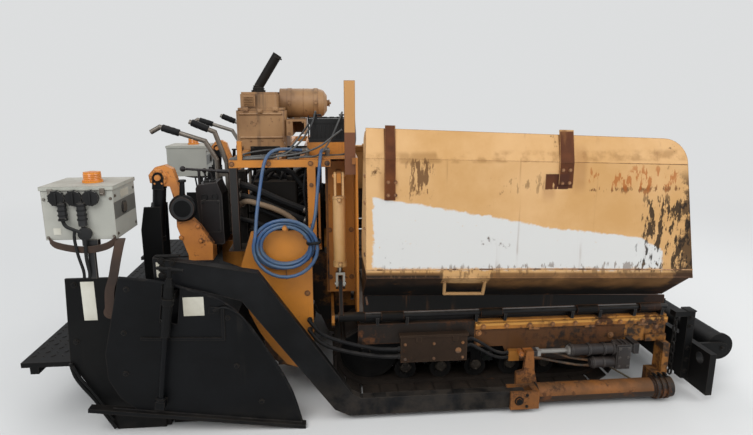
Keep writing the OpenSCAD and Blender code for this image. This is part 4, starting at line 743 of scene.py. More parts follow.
def add_band(bm, route, across, thick):
    """A flat band along a route, its width along a direction in millimetres, with a real thickness."""
    half = mm(*across) / 2
    path = smooth_route(route, 5)
    start = path[0] / 1000
    edge = bm.edges.new((bm.verts.new(start - half), bm.verts.new(start + half)))
    faces = []
    for at in path[1:]:
        out = bmesh.ops.extrude_edge_only(bm, edges=[edge])["geom"]
        verts = [v for v in out if isinstance(v, bmesh.types.BMVert)]
        move = at / 1000 - sum((v.co for v in verts), Vector()) / 2
        bmesh.ops.translate(bm, vec=move, verts=verts)
        edge = next(e for e in out if isinstance(e, bmesh.types.BMEdge))
        faces += [f for f in out if isinstance(f, bmesh.types.BMFace)]
    bmesh.ops.solidify(bm, geom=faces, thickness=thick / 1000)


def add_clamp(bm, at, axis, r, width=16):
    """A band clamp with its screw round a hose or tube at a point, along an axis."""
    at, axis = Vector(at), Vector(axis).normalized()
    add_lathe(bm, [(0, r - 1), (0, r + 2.4), (width * 0.2, r + 3.4), (width * 0.8, r + 3.4), (width, r + 2.4),
        (width, r - 1), (0, r - 1)], at - axis * width / 2, axis)
    side = axis.orthogonal().normalized()
    spot, lead = at + side * (r + 6), axis.cross(side) * 11
    add_bar(bm, spot - lead, spot + lead, 5, segments=10, bevel=1)


def add_fitting(bm, at, axis, r, length):
    """A hose end: ferrule, hexagon nut and collar."""
    at, axis = Vector(at), Vector(axis).normalized() * length
    add_lathe(bm, [(0, r * 0.5), (0, r + 3), (3, r + 4), (length * 0.5, r + 4), (length * 0.54, r + 2),
        (length * 0.6, r + 2), (length * 0.6, r * 0.5)], at, axis)
    add_bar(bm, at + axis * 0.6, at + axis * 0.92, r + 6, segments=6, bevel=1.5)
    add_bar(bm, at + axis * 0.92, at + axis, r + 2, segments=16)


def wing_trim(bm, sizes, fold):
    for x0, low in ((-126, 1190), (716, 1236)):
        add_bolts(bm, grid((x0 + 15, x0 + 50), WING_FACE, (low, low + 62)), sizes.bolt_r * 0.6, 3)
    # weld beads along the bend and round the handle's feet
    add_hose(bm, [(-214, 1280, 824), (620, 1280, 806), (1455, 1280, 778)], 3.2, 2, 12)
    for x in (178, 378):
        add_lathe(bm, [(0, 8), (0, 17), (5, 15), (10, 10)], (x, 1241, 748), (0, -6, -13), 18)
    # rolled rim along the rear edge and its stiffening ribs
    add_box(bm, (-214, 1180, 640), (-205, 1270, 652), 2)
    for z in (880, 1010, 1140, 1270):
        add_box(bm, (-222, 1205, z), (-215, 1268, z + 12), 2)
    if fold:
        fold_wing(bm, fold)


def track_trim(bm, sizes):
    """Hub caps with their bolts on the rollers and the wheels."""
    for i in range(1, ROLLERS + 1):
        x = REAR_WHEEL_X + (FRONT_WHEEL_X - REAR_WHEEL_X) * i / (ROLLERS + 1)
        add_lathe(bm, [(0, 34), (0, 30), (6, 26), (9, 16), (9, 0)], (x, 925, ROLLER_Z), Y, 24)
        add_bolts(bm, around((x, 931, ROLLER_Z), 22, (0.6, 2.7, 4.8)), 4, 4)
    for x in (FRONT_WHEEL_X, REAR_WHEEL_X):
        add_lathe(bm, [(0, 70), (0, 64), (10, 56), (20, 50), (24, 20), (24, 0)], (x, 896, WHEEL_Z), Y, 32)
        add_bolts(bm, around((x, 906, WHEEL_Z), 58, 8), 6, 6)


def track_mud(bm, sizes):
    """Mud packed between the shoes of the lower run."""
    add_box(bm, (-165, 700, 3), (1055, 1000, 15), 1, 1)


def skirt_trim(bm, sizes):
    # bolts along the rail and the skirt, cover bolts on the side box and the junction block's plugs
    add_bolts(bm, grid(range(440, 1480, 130), 1065, 415), sizes.bolt_r, 6)
    add_bolts(bm, [(x, 1050, z) for x, z in ((420, 372), (420, 312), (1180, 330), (1440, 372), (1440, 318))],
        sizes.bolt_r * 1.2, 7)
    add_bolts(bm, grid((8, 166, 324), 1086, (250, 336)), 6, 4)
    add_lathe(bm, [(0, 0), (0, 17), (3, 16), (4, 0)], (300, 1086, 292), Y, 24)
    for z in (228, 256):
        add_fitting(bm, (645, 1061, z), X, 7, 24)
    add_hose(bm, [(667, 1061, 256), (740, 1068, 262), (840, 1076, 250), (930, 1084, 222), (1010, 1090, 208),
        (1042, 1100, 206)], 7)
    add_hose(bm, [(667, 1061, 228), (740, 1066, 222), (850, 1070, 196), (990, 1078, 170), (1090, 1088, 172),
        (1166, 1092, 190)], 7)
    # worn pads under the rail
    for x in (700, 1020, 1330):
        add_box(bm, (x, 1050, 384), (x + 60, 1062, 399), 3)


def brace(bm, sizes):
    add_box(bm, (1126, 1052, 166), (1150, 1076, 184), 3)
    put(bm, add_box(bm, (-125, -9, -4), (125, 9, 4), 2), Matrix.Translation(mm(1240, 1064, 108))
        @ Matrix.Rotation(math.radians(31), 4, "Y"))
    add_bolts(bm, [(1142, 1073, 166), (1338, 1073, 49)], 8, 6)


def actuator_trim(bm, sizes):
    y = ACTUATOR_Y
    # cover plate, bolts and ribs on the gearbox, rod scraper, tube bands and motor end
    add_box(bm, (1172, 1160, 186), (1238, 1166, 308), 5)
    add_bolts(bm, grid((1181, 1229), 1166, (196, 247, 298)), 5, 4)
    for x in (912, 1010, 1096, 1152):
        add_lathe(bm, [(0, 30), (0, 34), (3, 35), (9, 35), (12, 34), (12, 30)], (x, y, ACTUATOR_Z), X, 32)
    add_lathe(bm, [(0, 14), (0, 25), (8, 25), (10, 18), (14, 18), (14, 13)], (907, y, ACTUATOR_Z), BACK, 24)
    for x in (1046, 1100):
        add_ring(bm, (x, y, MOTOR_Z), X, 30, 33, 8, 32)
    add_lathe(bm, [(0, 0), (0, 22), (5, 26), (8, 30)], (1032, y, MOTOR_Z), X, 32)
    for x in (1194, 1216):
        add_box(bm, (x, 1092, 318), (x + 5, 1156, 325), 1)
    # eye bolt and jam nut at the bell crank
    add_bar(bm, (700, y, ACTUATOR_Z), (718, y, ACTUATOR_Z), 21, segments=6, bevel=2)
    add_bar(bm, (632, 1104, ACTUATOR_Z), (632, 1152, ACTUATOR_Z), 15, segments=20, bevel=2)
    add_bolts(bm, [(632, 1153, ACTUATOR_Z)], 10, 7)


def link_trim(bm, sizes):
    y, z = LINK_Y, LINK_Z
    # clamp ears and bolts on the capped end, weld ring where the tube meets the fork
    for x in (1377, 1407, 1437):
        add_box(bm, (x - 5, y - 14, z + 58), (x + 5, y + 14, z + 80), 2)
        add_bar(bm, (x, y - 24, z + 70), (x, y + 24, z + 70), 5, segments=6)
    add_lathe(bm, [(0, 50), (0, 57), (5, 58), (10, 53)], (700, y, z), X, 36)
    add_lathe(bm, [(0, 0), (0, 34), (8, 40), (12, 44)], (1482, y, z), BACK, 36)
    add_bolts(bm, [(590, 1266, z)], 17, 11)
    add_box(bm, (566, 1262, z - 7), (614, 1267, z + 7), 2)
    add_bolts(bm, [(632, 1262, z + 32), (632, 1262, z - 32)], 9, 6)
    add_bar(bm, (1060, y - 54, z + 20), (1060, y - 54, z + 34), 5, segments=10)


def push_trim(bm, sizes):
    add_bolts(bm, grid(1702, (300, 420, 700, 820), (96, 236)), sizes.bolt_r * 1.2, 6, X)
    for y in (580, 600):
        add_bar(bm, (1560, y, 380), (1560, y, 392), 8, segments=12)
    add_bolts(bm, grid(1621, 1090, (110, 180, 250, 380, 430)), sizes.bolt_r, 6)
    add_box(bm, (1596, 1024, 466), (1650, 1094, 474), 3)
    # cap of the push roller's pin
    add_lathe(bm, [(0, 30), (4, 29), (8, 14), (8, 0)], (1822, 1092, 246), Y, 28)
    add_bolts(bm, [(1822, 1100, 246)], 9, 6)


def tow_arm_trim(bm, sizes):
    y = ARM_FACE
    add_bolts(bm, grid(-1180, y, (815, 850, 885)), sizes.bolt_r * 1.3, 7)
    add_bolts(bm, [(-1130, y, 836), (-1130, y, 876)], sizes.bolt_r * 1.1, 7)
    # the cap over the front pin, weld seams and worn pads
    add_lathe(bm, [(0, 46), (4, 44), (7, 34), (7, 18)], (590, y, LINK_Z), Y, 36)
    add_hose(bm, [(-1216, y, 900), (-740, y, 812)], 2.5, 2, 4)
    add_hose(bm, [(-736, y, 812), (-284, y, 150)], 2.5, 2, 6)
    add_box(bm, (-1216, 1206, 896), (-1100, 1236, 908), 4)
    for x in (-300, -180, 240):
        add_box(bm, (x, 1200, 118), (x + 70, 1242, 128), 3)


def hose_coil_path():
    """Right fitting, down to the coil, four turns and the long loop in front, and up to the left fitting."""
    down = [(-412, -780, 1356), (-420, -815, 1358), (-424, -850, 1352), (-427, -886, 1334), (-431, -912, 1300),
        (-438, -935, 1235), (-448, -972, 1140), (-458, -1008, 1050), (-472, -1025, 990)]
    coil = []
    turns, steps = 4.61, 118
    for k in range(steps + 1):
        t = turns * k / steps
        a = math.radians(20 - 360 * t)
        if t < 2:
            y, r = -1031.5 - 18.8 * t, 125
        elif t < 2.25:
            y, r = -1069.1, 125 + 19.4 * (t - 2) / 0.25
        elif t < 3.25:
            y, r = -1069.1 + 18.8 * (t - 2.25), 144.4
        elif t < 3.62:
            y, r = -1050.3, 144.4 + 20 * (t - 3.25) / 0.37
        elif t < 4:
            y, r = -1050.3 - 34 * (t - 3.62) / 0.38, 164.4
        else:
            y, r = -1084.3 + 12 * max(0, (t - 4.35) / 0.26), 164.4 - 4 * (t - 4) / 0.61
        sag = 0.76 + 0.19 * min(1, max(0, (t - 3.25) / 0.5))
        rise = r * math.sin(a)
        coil.append((COIL_X + r * math.cos(a), y, COIL_Z + rise * (0.86 if rise > 0 else sag)))
    up = [(-759, -1052, 990), (-756, -1030, 1045), (-748, -992, 1120), (-738, -956, 1195), (-728, -930, 1262),
        (-714, -908, 1316), (-692, -884, 1350), (-660, -858, 1366), (-618, -832, 1368), (-572, -808, 1362),
        (-524, -786, 1356)]
    return down, coil, up


def hose_fittings(bm, sizes):
    for x, toward in ((-390, (-0.9, 0, 0)), (-500, (-0.9, -0.25, 0))):
        add_lathe(bm, [(0, 0), (0, 19), (6, 19), (8, 13), (22, 13), (24, 16), (30, 16), (32, 0)],
            (x, -780, 1324), Z, 24)
        elbow = Vector((x, -780, 1356))
        add_ball(bm, elbow, 15)
        add_bar(bm, elbow, elbow + Vector(toward).normalized() * 30, sizes.hose_r + 4, segments=20, bevel=1.5)


def hose_tie(bm):
    """Three turns of a tie round the coil's strands, low on its front."""
    a = math.radians(9)
    spots = [(112, -1040), (116, -1019), (134, -1014), (156, -1022), (177, -1040), (181, -1075), (176, -1096),
        (150, -1097), (122, -1086), (112, -1062)]
    ring = [(COIL_X + r * math.cos(a), y, COIL_Z + r * math.sin(a)) for r, y in spots + spots[:2]]
    for shift, r in ((0, 5), (5, 3.4), (-5, 3.4)):
        add_hose(bm, [(x, y, z + shift) for x, y, z in ring], r)


def bay_looms(bm, sizes):
    """Dark hoses behind the near ones, from the valve banks forward and across the engine."""
    for i in range(7):
        y, z = 690 - 40 * i, 900 + 46 * i
        add_hose(bm, [(-842, y, z + 40), (-780, y - 4, z + 48), (-700, y - 22, z + 10 * (i % 3) + 20),
            (-600, y - 12, z - 36), (-520, y + 6, z - 14 * (i % 2)), (-446, y, z - 20)],
            (13, 9, 16, 11, 13, 9, 12)[i], 3)
    for i in range(5):
        x = -860 + 76 * i
        add_hose(bm, [(x, 300, 1120), (x + 18, 330, 1180), (x + 26, 420, 1215), (x + 10, 540, 1220),
            (x - 20, 660, 1160 + 12 * i), (x - 26, 690, 1080), (x - 20, 700, 1020)], (10, 8, 12, 8, 10)[i], 3)
    add_hose(bm, [(-892, 838, 1110), (-900, 846, 1000), (-896, 846, 900), (-880, 836, 832)], 8)
    add_hose(bm, [(-505, 842, 1270), (-520, 846, 1150), (-508, 842, 1010), (-512, 836, 836)], 7)


def sleeved_hose(bm, sizes):
    add_hose(bm, [(-862, -741, 1060), (-862, -790, 1072), (-822, -830, 1088), (-760, -842, 1074),
        (-690, -842, 1050), (-620, -842, 1014), (-566, -842, 966), (-534, -838, 910), (-522, -834, 868),
        (-520, -832, 831)], 15)


def sleeve_ends(bm, sizes):
    add_clamp(bm, (-862, -762, 1063), (0, -1, 0.1), 15)
    add_fitting(bm, (-520, -832, 830), Z, 14, 26)
    for at, axis, r in (((-870, -790, 1178), (1, -0.2, 0), 18), ((-520, -804, 1030), (1, 0, -0.4), 18),
            ((-520, -804, 970), (1, 0, -0.4), 18), ((-866, -788, 1112), (1, -0.2, 0), 18)):
        add_clamp(bm, at, axis, r, 14)


def bay_wires(bm, sizes):
    for route in (
        [(-450, -690, 1541), (-452, -722, 1560), (-470, -750, 1500), (-520, -800, 1420), (-600, -850, 1352),
            (-700, -866, 1326), (-820, -862, 1322), (-900, -850, 1322)],
        [(-484, -640, 1500), (-530, -700, 1440), (-600, -790, 1360), (-680, -846, 1322), (-760, -874, 1325),
            (-850, -868, 1320), (-905, -860, 1318)],
        [(-308, -690, 1541), (-306, -724, 1556), (-330, -752, 1500), (-380, -790, 1400), (-440, -850, 1336),
            (-520, -872, 1330), (-600, -868, 1322)],
        [(-940, -300, 1360), (-930, -420, 1344), (-900, -560, 1330), (-888, -700, 1320), (-886, -800, 1321)],
        [(-270, -600, 1510), (-240, -640, 1560), (-236, -700, 1500), (-238, -735, 1380), (-300, -752, 1330),
            (-420, -780, 1330)],
        [(-900, -852, 1323), (-760, -866, 1328), (-640, -862, 1334), (-520, -872, 1352), (-430, -884, 1386),
            (-370, -892, 1430), (-312, -903, 1474)],
        [(-890, -846, 1324), (-800, -834, 1330), (-700, -826, 1336), (-640, -812, 1344), (-560, -730, 1338),
            (-520, -640, 1326)],
        [(-880, -700, 1322), (-800, -640, 1336), (-700, -560, 1340), (-600, -500, 1336), (-510, -470, 1325)],
    ):
        add_hose(bm, route, sizes.wire_r, 2)
    for x in (-560, -650, -740, -830):
        add_clamp(bm, (x, -860, 1322), X, 8, 8)


def rail_trim(bm, sizes):
    add_bolts(bm, grid((-890, -700, -480, -392), 880, 1296), sizes.bolt_r, 6)
    add_bolts(bm, grid(-478, 880, (870, 960, 1180)), sizes.bolt_r * 0.8, 5)
    add_box(bm, (-400, 752, 540), (-390, 758, 1285), 1)
    add_bolts(bm, grid((-384, -262), 752, (620, 900, 1270)), sizes.bolt_r, 6)
    add_bolts(bm, [(x, 1012, z) for x, z in ((-510, 930), (-510, 620), (-510, 320), (-760, 900), (-800, 640))],
        sizes.bolt_r * 1.1, 6)
    add_box(bm, (-860, 838, 1376), (-835, 864, 1384), 2)
    for x in (-842, -620):
        add_box(bm, (x, 1000, 700), (x + 8, 1016, 760), 2)


def hood_trim(bm, sizes):
    # louvres in the side and the near vent, lid hinges, latch and carrying eyes
    for k in range(6):
        put(bm, add_box(bm, (-30, -5, -1), (30, 7, 1), 0), Matrix.Translation(mm(-861, -312, 1590 + 10 * k))
            @ Matrix.Rotation(0.6, 4, "X"))
    for x in (-900, -720):
        add_box(bm, (x, -306, 1548), (x + 34, -299, 1580), 2)
        add_bolts(bm, [(x + 9, -306, 1556), (x + 25, -306, 1556)], 4, 3, NEAR)
    add_box(bm, (-812, -312, 1540), (-782, -300, 1566), 3)
    add_bar(bm, (-797, -312, 1552), (-797, -322, 1552), 9, segments=20, bevel=2)
    add_bolts(bm, grid((-930, -860, -790, -720, -660), -300, 1372), 5, 4, NEAR)
    add_bolts(bm, grid((-622, -538), -290, (1416, 1484)), 5, 4, NEAR)
    for z in (1392, 1536):
        add_ring(bm, (-924, -300, z), X, 5, 8, 260, 8)


def hood_skirt(bm, sizes):
    """Sooty shields hung from the hood's near edge between the cross rails."""
    for x0, x1 in ((-947, -908), (-864, -682), (-638, -502)):
        add_box(bm, (x0, -305, 1236), (x1, -300.6, 1338), 1, 1)
        add_bolts(bm, grid((x0 + 14, x1 - 14), -305, 1326), 5, 4, NEAR)
    add_box(bm, (-638, -305, 1330), (-502, -292, 1338), 1, 1)


def canister_trim(bm, sizes):
    for x in (-627, -457):
        add_box(bm, (x - 8, -170, 1590), (x + 8, -155, 1606), 2)
        add_bar(bm, (x, -162, 1580), (x, -162, 1616), 4, segments=10)
    add_lathe(bm, [(0, 18), (3, 24), (7, 24), (10, 8), (16, 7), (18, 0)], (-374, -60, 1598), X, 24)
    put(bm, add_box(bm, (-3, -26, -6), (3, 26, 6), 2), Matrix.Translation(mm(-362, -60, 1598)))
    add_lathe(bm, [(0, 92), (2, 95.5), (6, 95.5), (8, 92)], (-540, -60, 1598), X, 40)


def stack_trim(bm, sizes):
    add_clamp(bm, (-833, -10, 1690), Z, 33, 18)
    add_ring(bm, (-705, -10, 1886), (5, 0, 10), 30, 33, 10, 24)


def battery_trim(bm, sizes):
    for x in (-450, -308):
        add_box(bm, (x - 14, -704, 1538), (x + 14, -676, 1546), 2)
        add_bar(bm, (x + 14, -690, 1542), (x + 30, -690, 1542), 5, segments=10)
    add_box(bm, (-494, -604, 1522), (-264, -592, 1527), 1)
    for x in (-494, -270):
        add_bar(bm, (x, -598, 1400), (x, -598, 1536), 4, segments=10)
    for x in range(-470, -290, 22):
        add_box(bm, (x, -723, 1420), (x + 6, -719, 1488), 1)


def engine_trim(bm, sizes):
    add_bolts(bm, grid(range(-850, -529, 80), -136, 1146), 9, 8, Z)
    for x in (-872, -700, -540, -450):
        add_bolts(bm, grid(x + 9, -238, (700, 960)), 8, 6, NEAR)
    add_lathe(bm, [(0, 40), (0, 44), (5, 45), (9, 44), (9, 40)], (-610, -274, 760), Z, 28)
    add_hose(bm, [(-470, -292, 1058), (-500, -330, 1090), (-560, -340, 1060), (-620, -300, 1020),
        (-640, -250, 980)], 10)
    add_hose(bm, [(-720, -272, 782), (-700, -330, 800), (-640, -360, 900), (-560, -350, 980), (-500, -300, 1010)],
        8)
    # fan belt over the pulleys, radiator fins
    add_band(bm, [(-410, -352, 1000), (-410, -300, 1062), (-410, -230, 1054), (-410, -150, 980), (-410, -90, 820),
        (-410, -150, 772), (-410, -260, 850), (-410, -352, 1000)], (12, 0, 0), 5)
    for k in range(14):
        add_box(bm, (-392, -290 + 42 * k, 680), (-390, -286 + 42 * k, 1220))


def console_trim(bm, sizes):
    # boots under the levers, dials on the face and screws of the near panel
    for x in (-1066, -1030):
        add_lathe(bm, [(0, 20), (4, 20), (10, 15), (14, 16), (20, 11), (24, 12), (32, 7)], (x, -680, 1166),
            (-3, 0, 32), 24)
    for x in (-1014, -1070):
        add_lathe(bm, [(0, 17), (6, 18), (8, 15), (5, 13), (5, 0)], (x, -740, 1100), NEAR, 28)
    add_bolts(bm, grid((-1080, -1000), -746, (912, 1068)), 5, 3, NEAR)


def rail_grips(bm, sizes):
    for start, along in (((-1240, 500, 1435), (-100, 0, 33)), ((-1075, 500, 1456), (-85, 0, 36))):
        add_lathe(bm, [(0, 15), (0, 19), (4, 21), (20, 20), (34, 21.5), (50, 20), (66, 21.5), (84, 20), (96, 21),
            (100, 18), (100, 15)], start, along, 20)
    for x in (-1036, -980):
        add_lathe(bm, [(0, 34), (6, 34), (9, 20), (14, 16)], (x, 500, 831), Z, 24)
        add_bolts(bm, [(x + 25 * math.cos(a), 500 + 25 * math.sin(a), 836) for a in (0.8, 2.4, 3.9, 5.5)], 4, 4, Z)


def lift_post_trim(bm, sizes):
    y = 855
    add_lathe(bm, [(0, 46), (6, 46), (9, 42), (9, 20), (14, 20)], (-1275, y, 1228), Y, 36)
    add_bolts(bm, around((-1275, y + 8, 1228), 36, 6), 6, 5)
    add_bolts(bm, [(-1180, y, 900), (-1080, y, 880), (-1180, y, 990), (-1090, y, 960)], 10, 7)
    add_hose(bm, [(-1196, y - 2, 960), (-1198, y - 2, 1080), (-1218, y - 2, 1178)], 3, 2)


def post_housing(bm, sizes):
    """The round black housing on the lift post, with its cap and stem."""
    add_lathe(bm, [(0, 60), (2, 66), (8, 71), (16, 73), (24, 72), (31, 68), (36, 62), (39, 54), (40.6, 40),
        (41, 0)], (-1156, 855, 1065), Y, 36)
    add_bar(bm, (-1156, 873, 1128), (-1151, 873, 1216), 15, 12, bevel=3)
    add_lathe(bm, [(0, 14), (0, 19), (6, 21), (12, 19), (12, 14)], (-1151, 873, 1204), Z, 24)


def screed_trim(bm, sizes):
    for x in (-1170, -1120):
        add_bolts(bm, grid(x, 1180, (80, 240, 330)), sizes.bolt_r, 6)
    for y in (300, 700, 1080):
        add_box(bm, (-1180, y, 378), (-940, y + 14, 420), 3)
    add_hose(bm, [(-1000, 60, 395), (-990, 300, 402), (-1000, 600, 398), (-995, 900, 404), (-1010, 1120, 396)], 15)


def tread(x0, x1, y0, y1):
    """Draws raised bars in alternate directions on the deck, as rolled tread plate has."""

    def draw(bm, sizes):
        for i in range(int((x1 - x0) / TREAD_PITCH)):
            for j in range(int((y1 - y0) / TREAD_PITCH)):
                turn = math.radians(45 if (i + j) % 2 else -45)
                at = mm(x0 + TREAD_PITCH * (i + 0.5), y0 + TREAD_PITCH * (j + 0.5), DECK_Z + 1.2)
                bar = bmesh.ops.create_cone(bm, cap_ends=True, segments=4, radius1=BAR_FOOT, radius2=BAR_TOP,
                    depth=BAR_H)
                put(bm, bar["verts"], Matrix.Translation(at) @ Matrix.Rotation(turn, 4, "Z")
                    @ Matrix.Diagonal((1, BAR_SLIM, 1, 1)))

    return draw


def extension_trim(bm, sizes):
    y = PLATE_FACE
    add_bolts(bm, [(-1600, y, 770), (-1420, y, 770), (-1620, y, 480), (-1440, y, 90), (-1440, y, 600)],
        sizes.bolt_r * 1.1, 6)
    # rolled flange round the end plate's lower rear edge
    add_hose(bm, [(-1656, 1219, 372), (-1640, 1219, 300), (-1606, 1219, 238), (-1560, 1219, 170), (-1520, 1219, 92),
        (-1476, 1219, 12)], 11)
    add_hose(bm, [(-1644, 1226, 360), (-1612, 1230, 290), (-1572, 1230, 232), (-1530, 1230, 160),
        (-1482, 1226, 60)], 7)
    # strip and bolts on the jack's sleeve arm
    add_box(bm, (-1300, 1214, 735), (-1160, 1226, 741), 2)
    add_bolts(bm, [(-1288, 1208, 735), (-1262, 1208, 735)], 8, 6, Z)


def gate_trim(bm, sizes):
    y = GATE_FACE
    add_bolts(bm, [(x, y, z) for x, z in ((-1440, 640), (-1440, 420), (-1420, 210), (-760, 120), (-900, 300),
        (-965, 546))], sizes.bolt_r, 6)
    # weld bead along the skid and the rim along the gate's curve
    add_hose(bm, [(-1470, y + 2, 22), (-1000, y + 2, 22), (-550, y + 2, 22)], 4, 2, 8)
    add_hose(bm, [(-549, 1268, 20), (-629, 1268, 202), (-771, 1268, 404), (-905, 1268, 558), (-1028, 1268, 636),
        (-1147, 1268, 664), (-1300, 1268, 690), (-1478, 1268, 690)], 7.5, 3, 8)
    # the jack's thread and foot with its nuts, and a hose with its clip on the panel
    add_lathe(bm, [p for k in range(52) for p in ((k * 6.4, 12.9), (k * 6.4 + 3.2, 13.7))] + [(52 * 6.4, 12.9)],
        (JACK_X, JACK_Y, 100), Z, 14)
    add_lathe(bm, [(0, 16), (0, 24), (14, 24), (16, 18), (22, 16)], (JACK_X, JACK_Y, 100), Z, 24)
    add_bolts(bm, [(-1252, y + 1, 80), (-1228, y + 1, 80)], 7, 5)
    add_box(bm, (-1056, y, 560), (-1008, y + 5, 596), 2)
    add_hose(bm, [(-1032, y + 6, 576), (-990, 1284, 600), (-940, 1290, 590), (-890, 1288, 556), (-850, 1282, 500)],
        6)
    tilt_gate(bm)


def label(x0, x1, z0, z1, face):
    """Draws a blank plate on a face."""
    return lambda bm, sizes: add_box(bm, (x0, face, z0), (x1, face + LABEL_H, z1), 0.6, 1)


def box_trim(bm, sizes):
    y = BOX_FACE
    # lid clasps with their pins, gasket, screws and the vent's bars
    for x in (-1660, -1430):
        add_box(bm, (x - 12, y + 5, 1196), (x + 12, y + 11, 1230), 2)
        add_bar(bm, (x - 8, y + 12, 1206), (x + 8, y + 12, 1206), 4, segments=10)
    add_box(bm, (-1703, 905, 1219), (-1389, y + 2, 1223), 1)
    add_bolts(bm, grid((-1694, -1398), y, (1000, 1180)), 5, 4)
    add_bolts(bm, grid(-1386, (930, 1180), (1010, 1190)), 5, 4, X)
    for k in range(5):
        add_box(bm, (-1380, 1058 + 9 * k, 1098), (-1376, 1062 + 9 * k, 1142), 1)


def box_controls(bm, sizes):
    y = BOX_FACE
    for x in (-1630, -1555, -1480):
        add_lathe(bm, [(0, 30), (0, 37), (4, 38), (9, 36), (12, 33), (12, 0)], (x, y + 14, 1188), Y, 32)
        for rib_x, rib_y, rib_z in around((x, y + 14, 1188), 36, 9):
            add_bar(bm, (rib_x, rib_y, rib_z), (rib_x, rib_y + 11, rib_z), 3.4, segments=8)
        add_box(bm, (x - 4, y + 26, 1162), (x + 4, y + 33, 1214), 2)
    for x, top, r in ((-1611, 1165, 18), (-1526, 1165, 19)):
        for k in range(4):
            z = top - 8 - k * 22
            add_ring(bm, (x, y + 18, z - 7), Z, r - 1, r + 3, 7, 24)
        add_bar(bm, (x, y + 18, top), (x, y + 18, top + 8), r - 4, 9)
    add_lathe(bm, [(0, 27), (3, 31), (8, 31), (11, 22), (14, 0)], (-1518, y + 24, 1020), Y, 28)
    # leads from the sockets to the plug and down the post
    add_hose(bm, [(-1611, y + 18, 1096), (-1611, y + 20, 1076), (-1598, y + 24, 1056), (-1570, y + 30, 1044),
        (-1545, y + 32, 1034), (-1530, y + 30, 1024)], 8)
    add_hose(bm, [(-1526, y + 18, 1058), (-1524, y + 22, 1044), (-1520, y + 28, 1034)], 9)
    add_hose(bm, [(-1518, y + 30, 998), (-1520, y + 30, 968), (-1524, y + 26, 900), (-1520, y + 18, 830),
        (-1528, y + 7, 796)], 8)
    add_hose(bm, [(-1560, y + 30, 1040), (-1566, y + 30, 1000), (-1560, y + 26, 920), (-1548, y + 16, 840),
        (-1552, y + 7, 796)], 7)


def box_labels(bm, sizes):
    label(-1668, -1634, 1012, 1044, BOX_FACE)(bm, sizes)
    add_box(bm, (-1386.6, 1000, 1168), (-1384.6, 1104, 1204), 0.6, 1)


def beacon_lens(bm, sizes):
    add_lathe(bm, [(0, 44), (3, 46), (8, 46), (10, 41), (14, 41), (18, 39.6), (22, 41), (26, 39.6), (30, 41),
        (34, 39.6), (38, 41), (42, 39.6), (46, 38), (51, 30), (54, 14), (55, 0)], (-1521, 1070, 1239), Z, 40)


def slack_straps(bm, sizes):
    add_band(bm, [(-1372, 1192, 986), (-1376, 1210, 960), (-1396, 1218, 880), (-1414, 1220, 806),
        (-1436, 1222, 740), (-1444, 1222, 650), (-1446, 1220, 612)], (44, 0, 0), 5)
    add_band(bm, [(-1690, 1196, 986), (-1660, 1208, 966), (-1580, 1216, 948), (-1500, 1220, 944),
        (-1430, 1212, 958), (-1390, 1200, 984)], (0, 8, 34), 5)
    add_lathe(bm, [(0, 14), (0, 30), (6, 32), (12, 30), (12, 14), (0, 14)], (-1445, 1214, 628), Y, 20)


def cylinder_trim(bm, sizes, fold):
    """Port blocks with their nuts and two bands on a wing cylinder, whose lower pin moves with the wing."""
    hinge = Vector((UPPER_PIN.x, HINGE_Y * 1000, HINGE_Z * 1000))
    lower = hinge + Matrix.Rotation(fold, 3, "X") @ (LOWER_PIN - hinge)
    down = (lower - UPPER_PIN).normalized()
    closed = (LOWER_PIN - UPPER_PIN).length
    out = Vector((0, -down.z, down.y))
    r = 34
    for d in (124, closed - 116):
        at = UPPER_PIN + down * d + out * (r - 3)
        add_bar(bm, at, at + out * 16, 13, 11, bevel=2)
        add_bar(bm, at + out * 16, at + out * 26, 9, segments=6)
    for d in (112, closed - 128):
        add_ring(bm, UPPER_PIN + down * d, down, r - 1, r + 3, 8, 32)


def hopper_trim(bm, sizes):
    """Bolted wear strips and flashing along the hopper's rear wall."""
    add_bolts(bm, grid(-244, (300, 500, 700, 860), (700, 900)), sizes.bolt_r, 6, BACK)
    for y in (200, 420, 640):
        add_box(bm, (-232, y, 560), (-224, y + 40, 1180), 3)


# Sizes and colours that a user may change


class PaverSizes(bpy.types.PropertyGroup):
    bolt_r: bpy.props.FloatProperty(name="Bolt Head Radius", default=10.0, min=4.0, max=18.0,
        description="Radius of a common bolt head in millimetres")
    hose_r: bpy.props.FloatProperty(name="Blue Hose Radius", default=9.0, min=5.0, max=9.2,
        description="Radius of the coiled hose in millimetres")
    wire_r: bpy.props.FloatProperty(name="Wire Radius", default=5.0, min=2.0, max=8.0,
        description="Radius of the bay's loose wires in millimetres")
    lamp_power: bpy.props.FloatProperty(name="Key Light Power", default=430.0, min=50.0, max=2000.0, unit="POWER",
        description="Power of the main light in watts")


def paint(label, text, color):
    return bpy.props.FloatVectorProperty(name=label, description=text, default=color, size=3, min=0.0, max=1.0,
        subtype="COLOR_GAMMA")


class PaverColors(bpy.types.PropertyGroup):
    tan: paint("Wing Tan", "Paint of the wings, hood and air cleaner", (0.80, 0.64, 0.45))
    orange: paint("Frame Orange", "Paint of the frame and side plates", (0.76, 0.48, 0.14))
    black: paint("Black Paint", "Paint of the arms, gates and screed", (0.035, 0.036, 0.038))
    stripe: paint("Stripe", "The broad stripe on each wing", (0.78, 0.777, 0.765))
    grey: paint("Control Box Grey", "Paint of the control boxes", (0.65, 0.645, 0.61))
    blue: paint("Hose Blue", "Jacket of the coiled hose", (0.14, 0.28, 0.45))
    beacon: paint("Beacon Amber", "Lens of the beacon", (0.86, 0.52, 0.11))


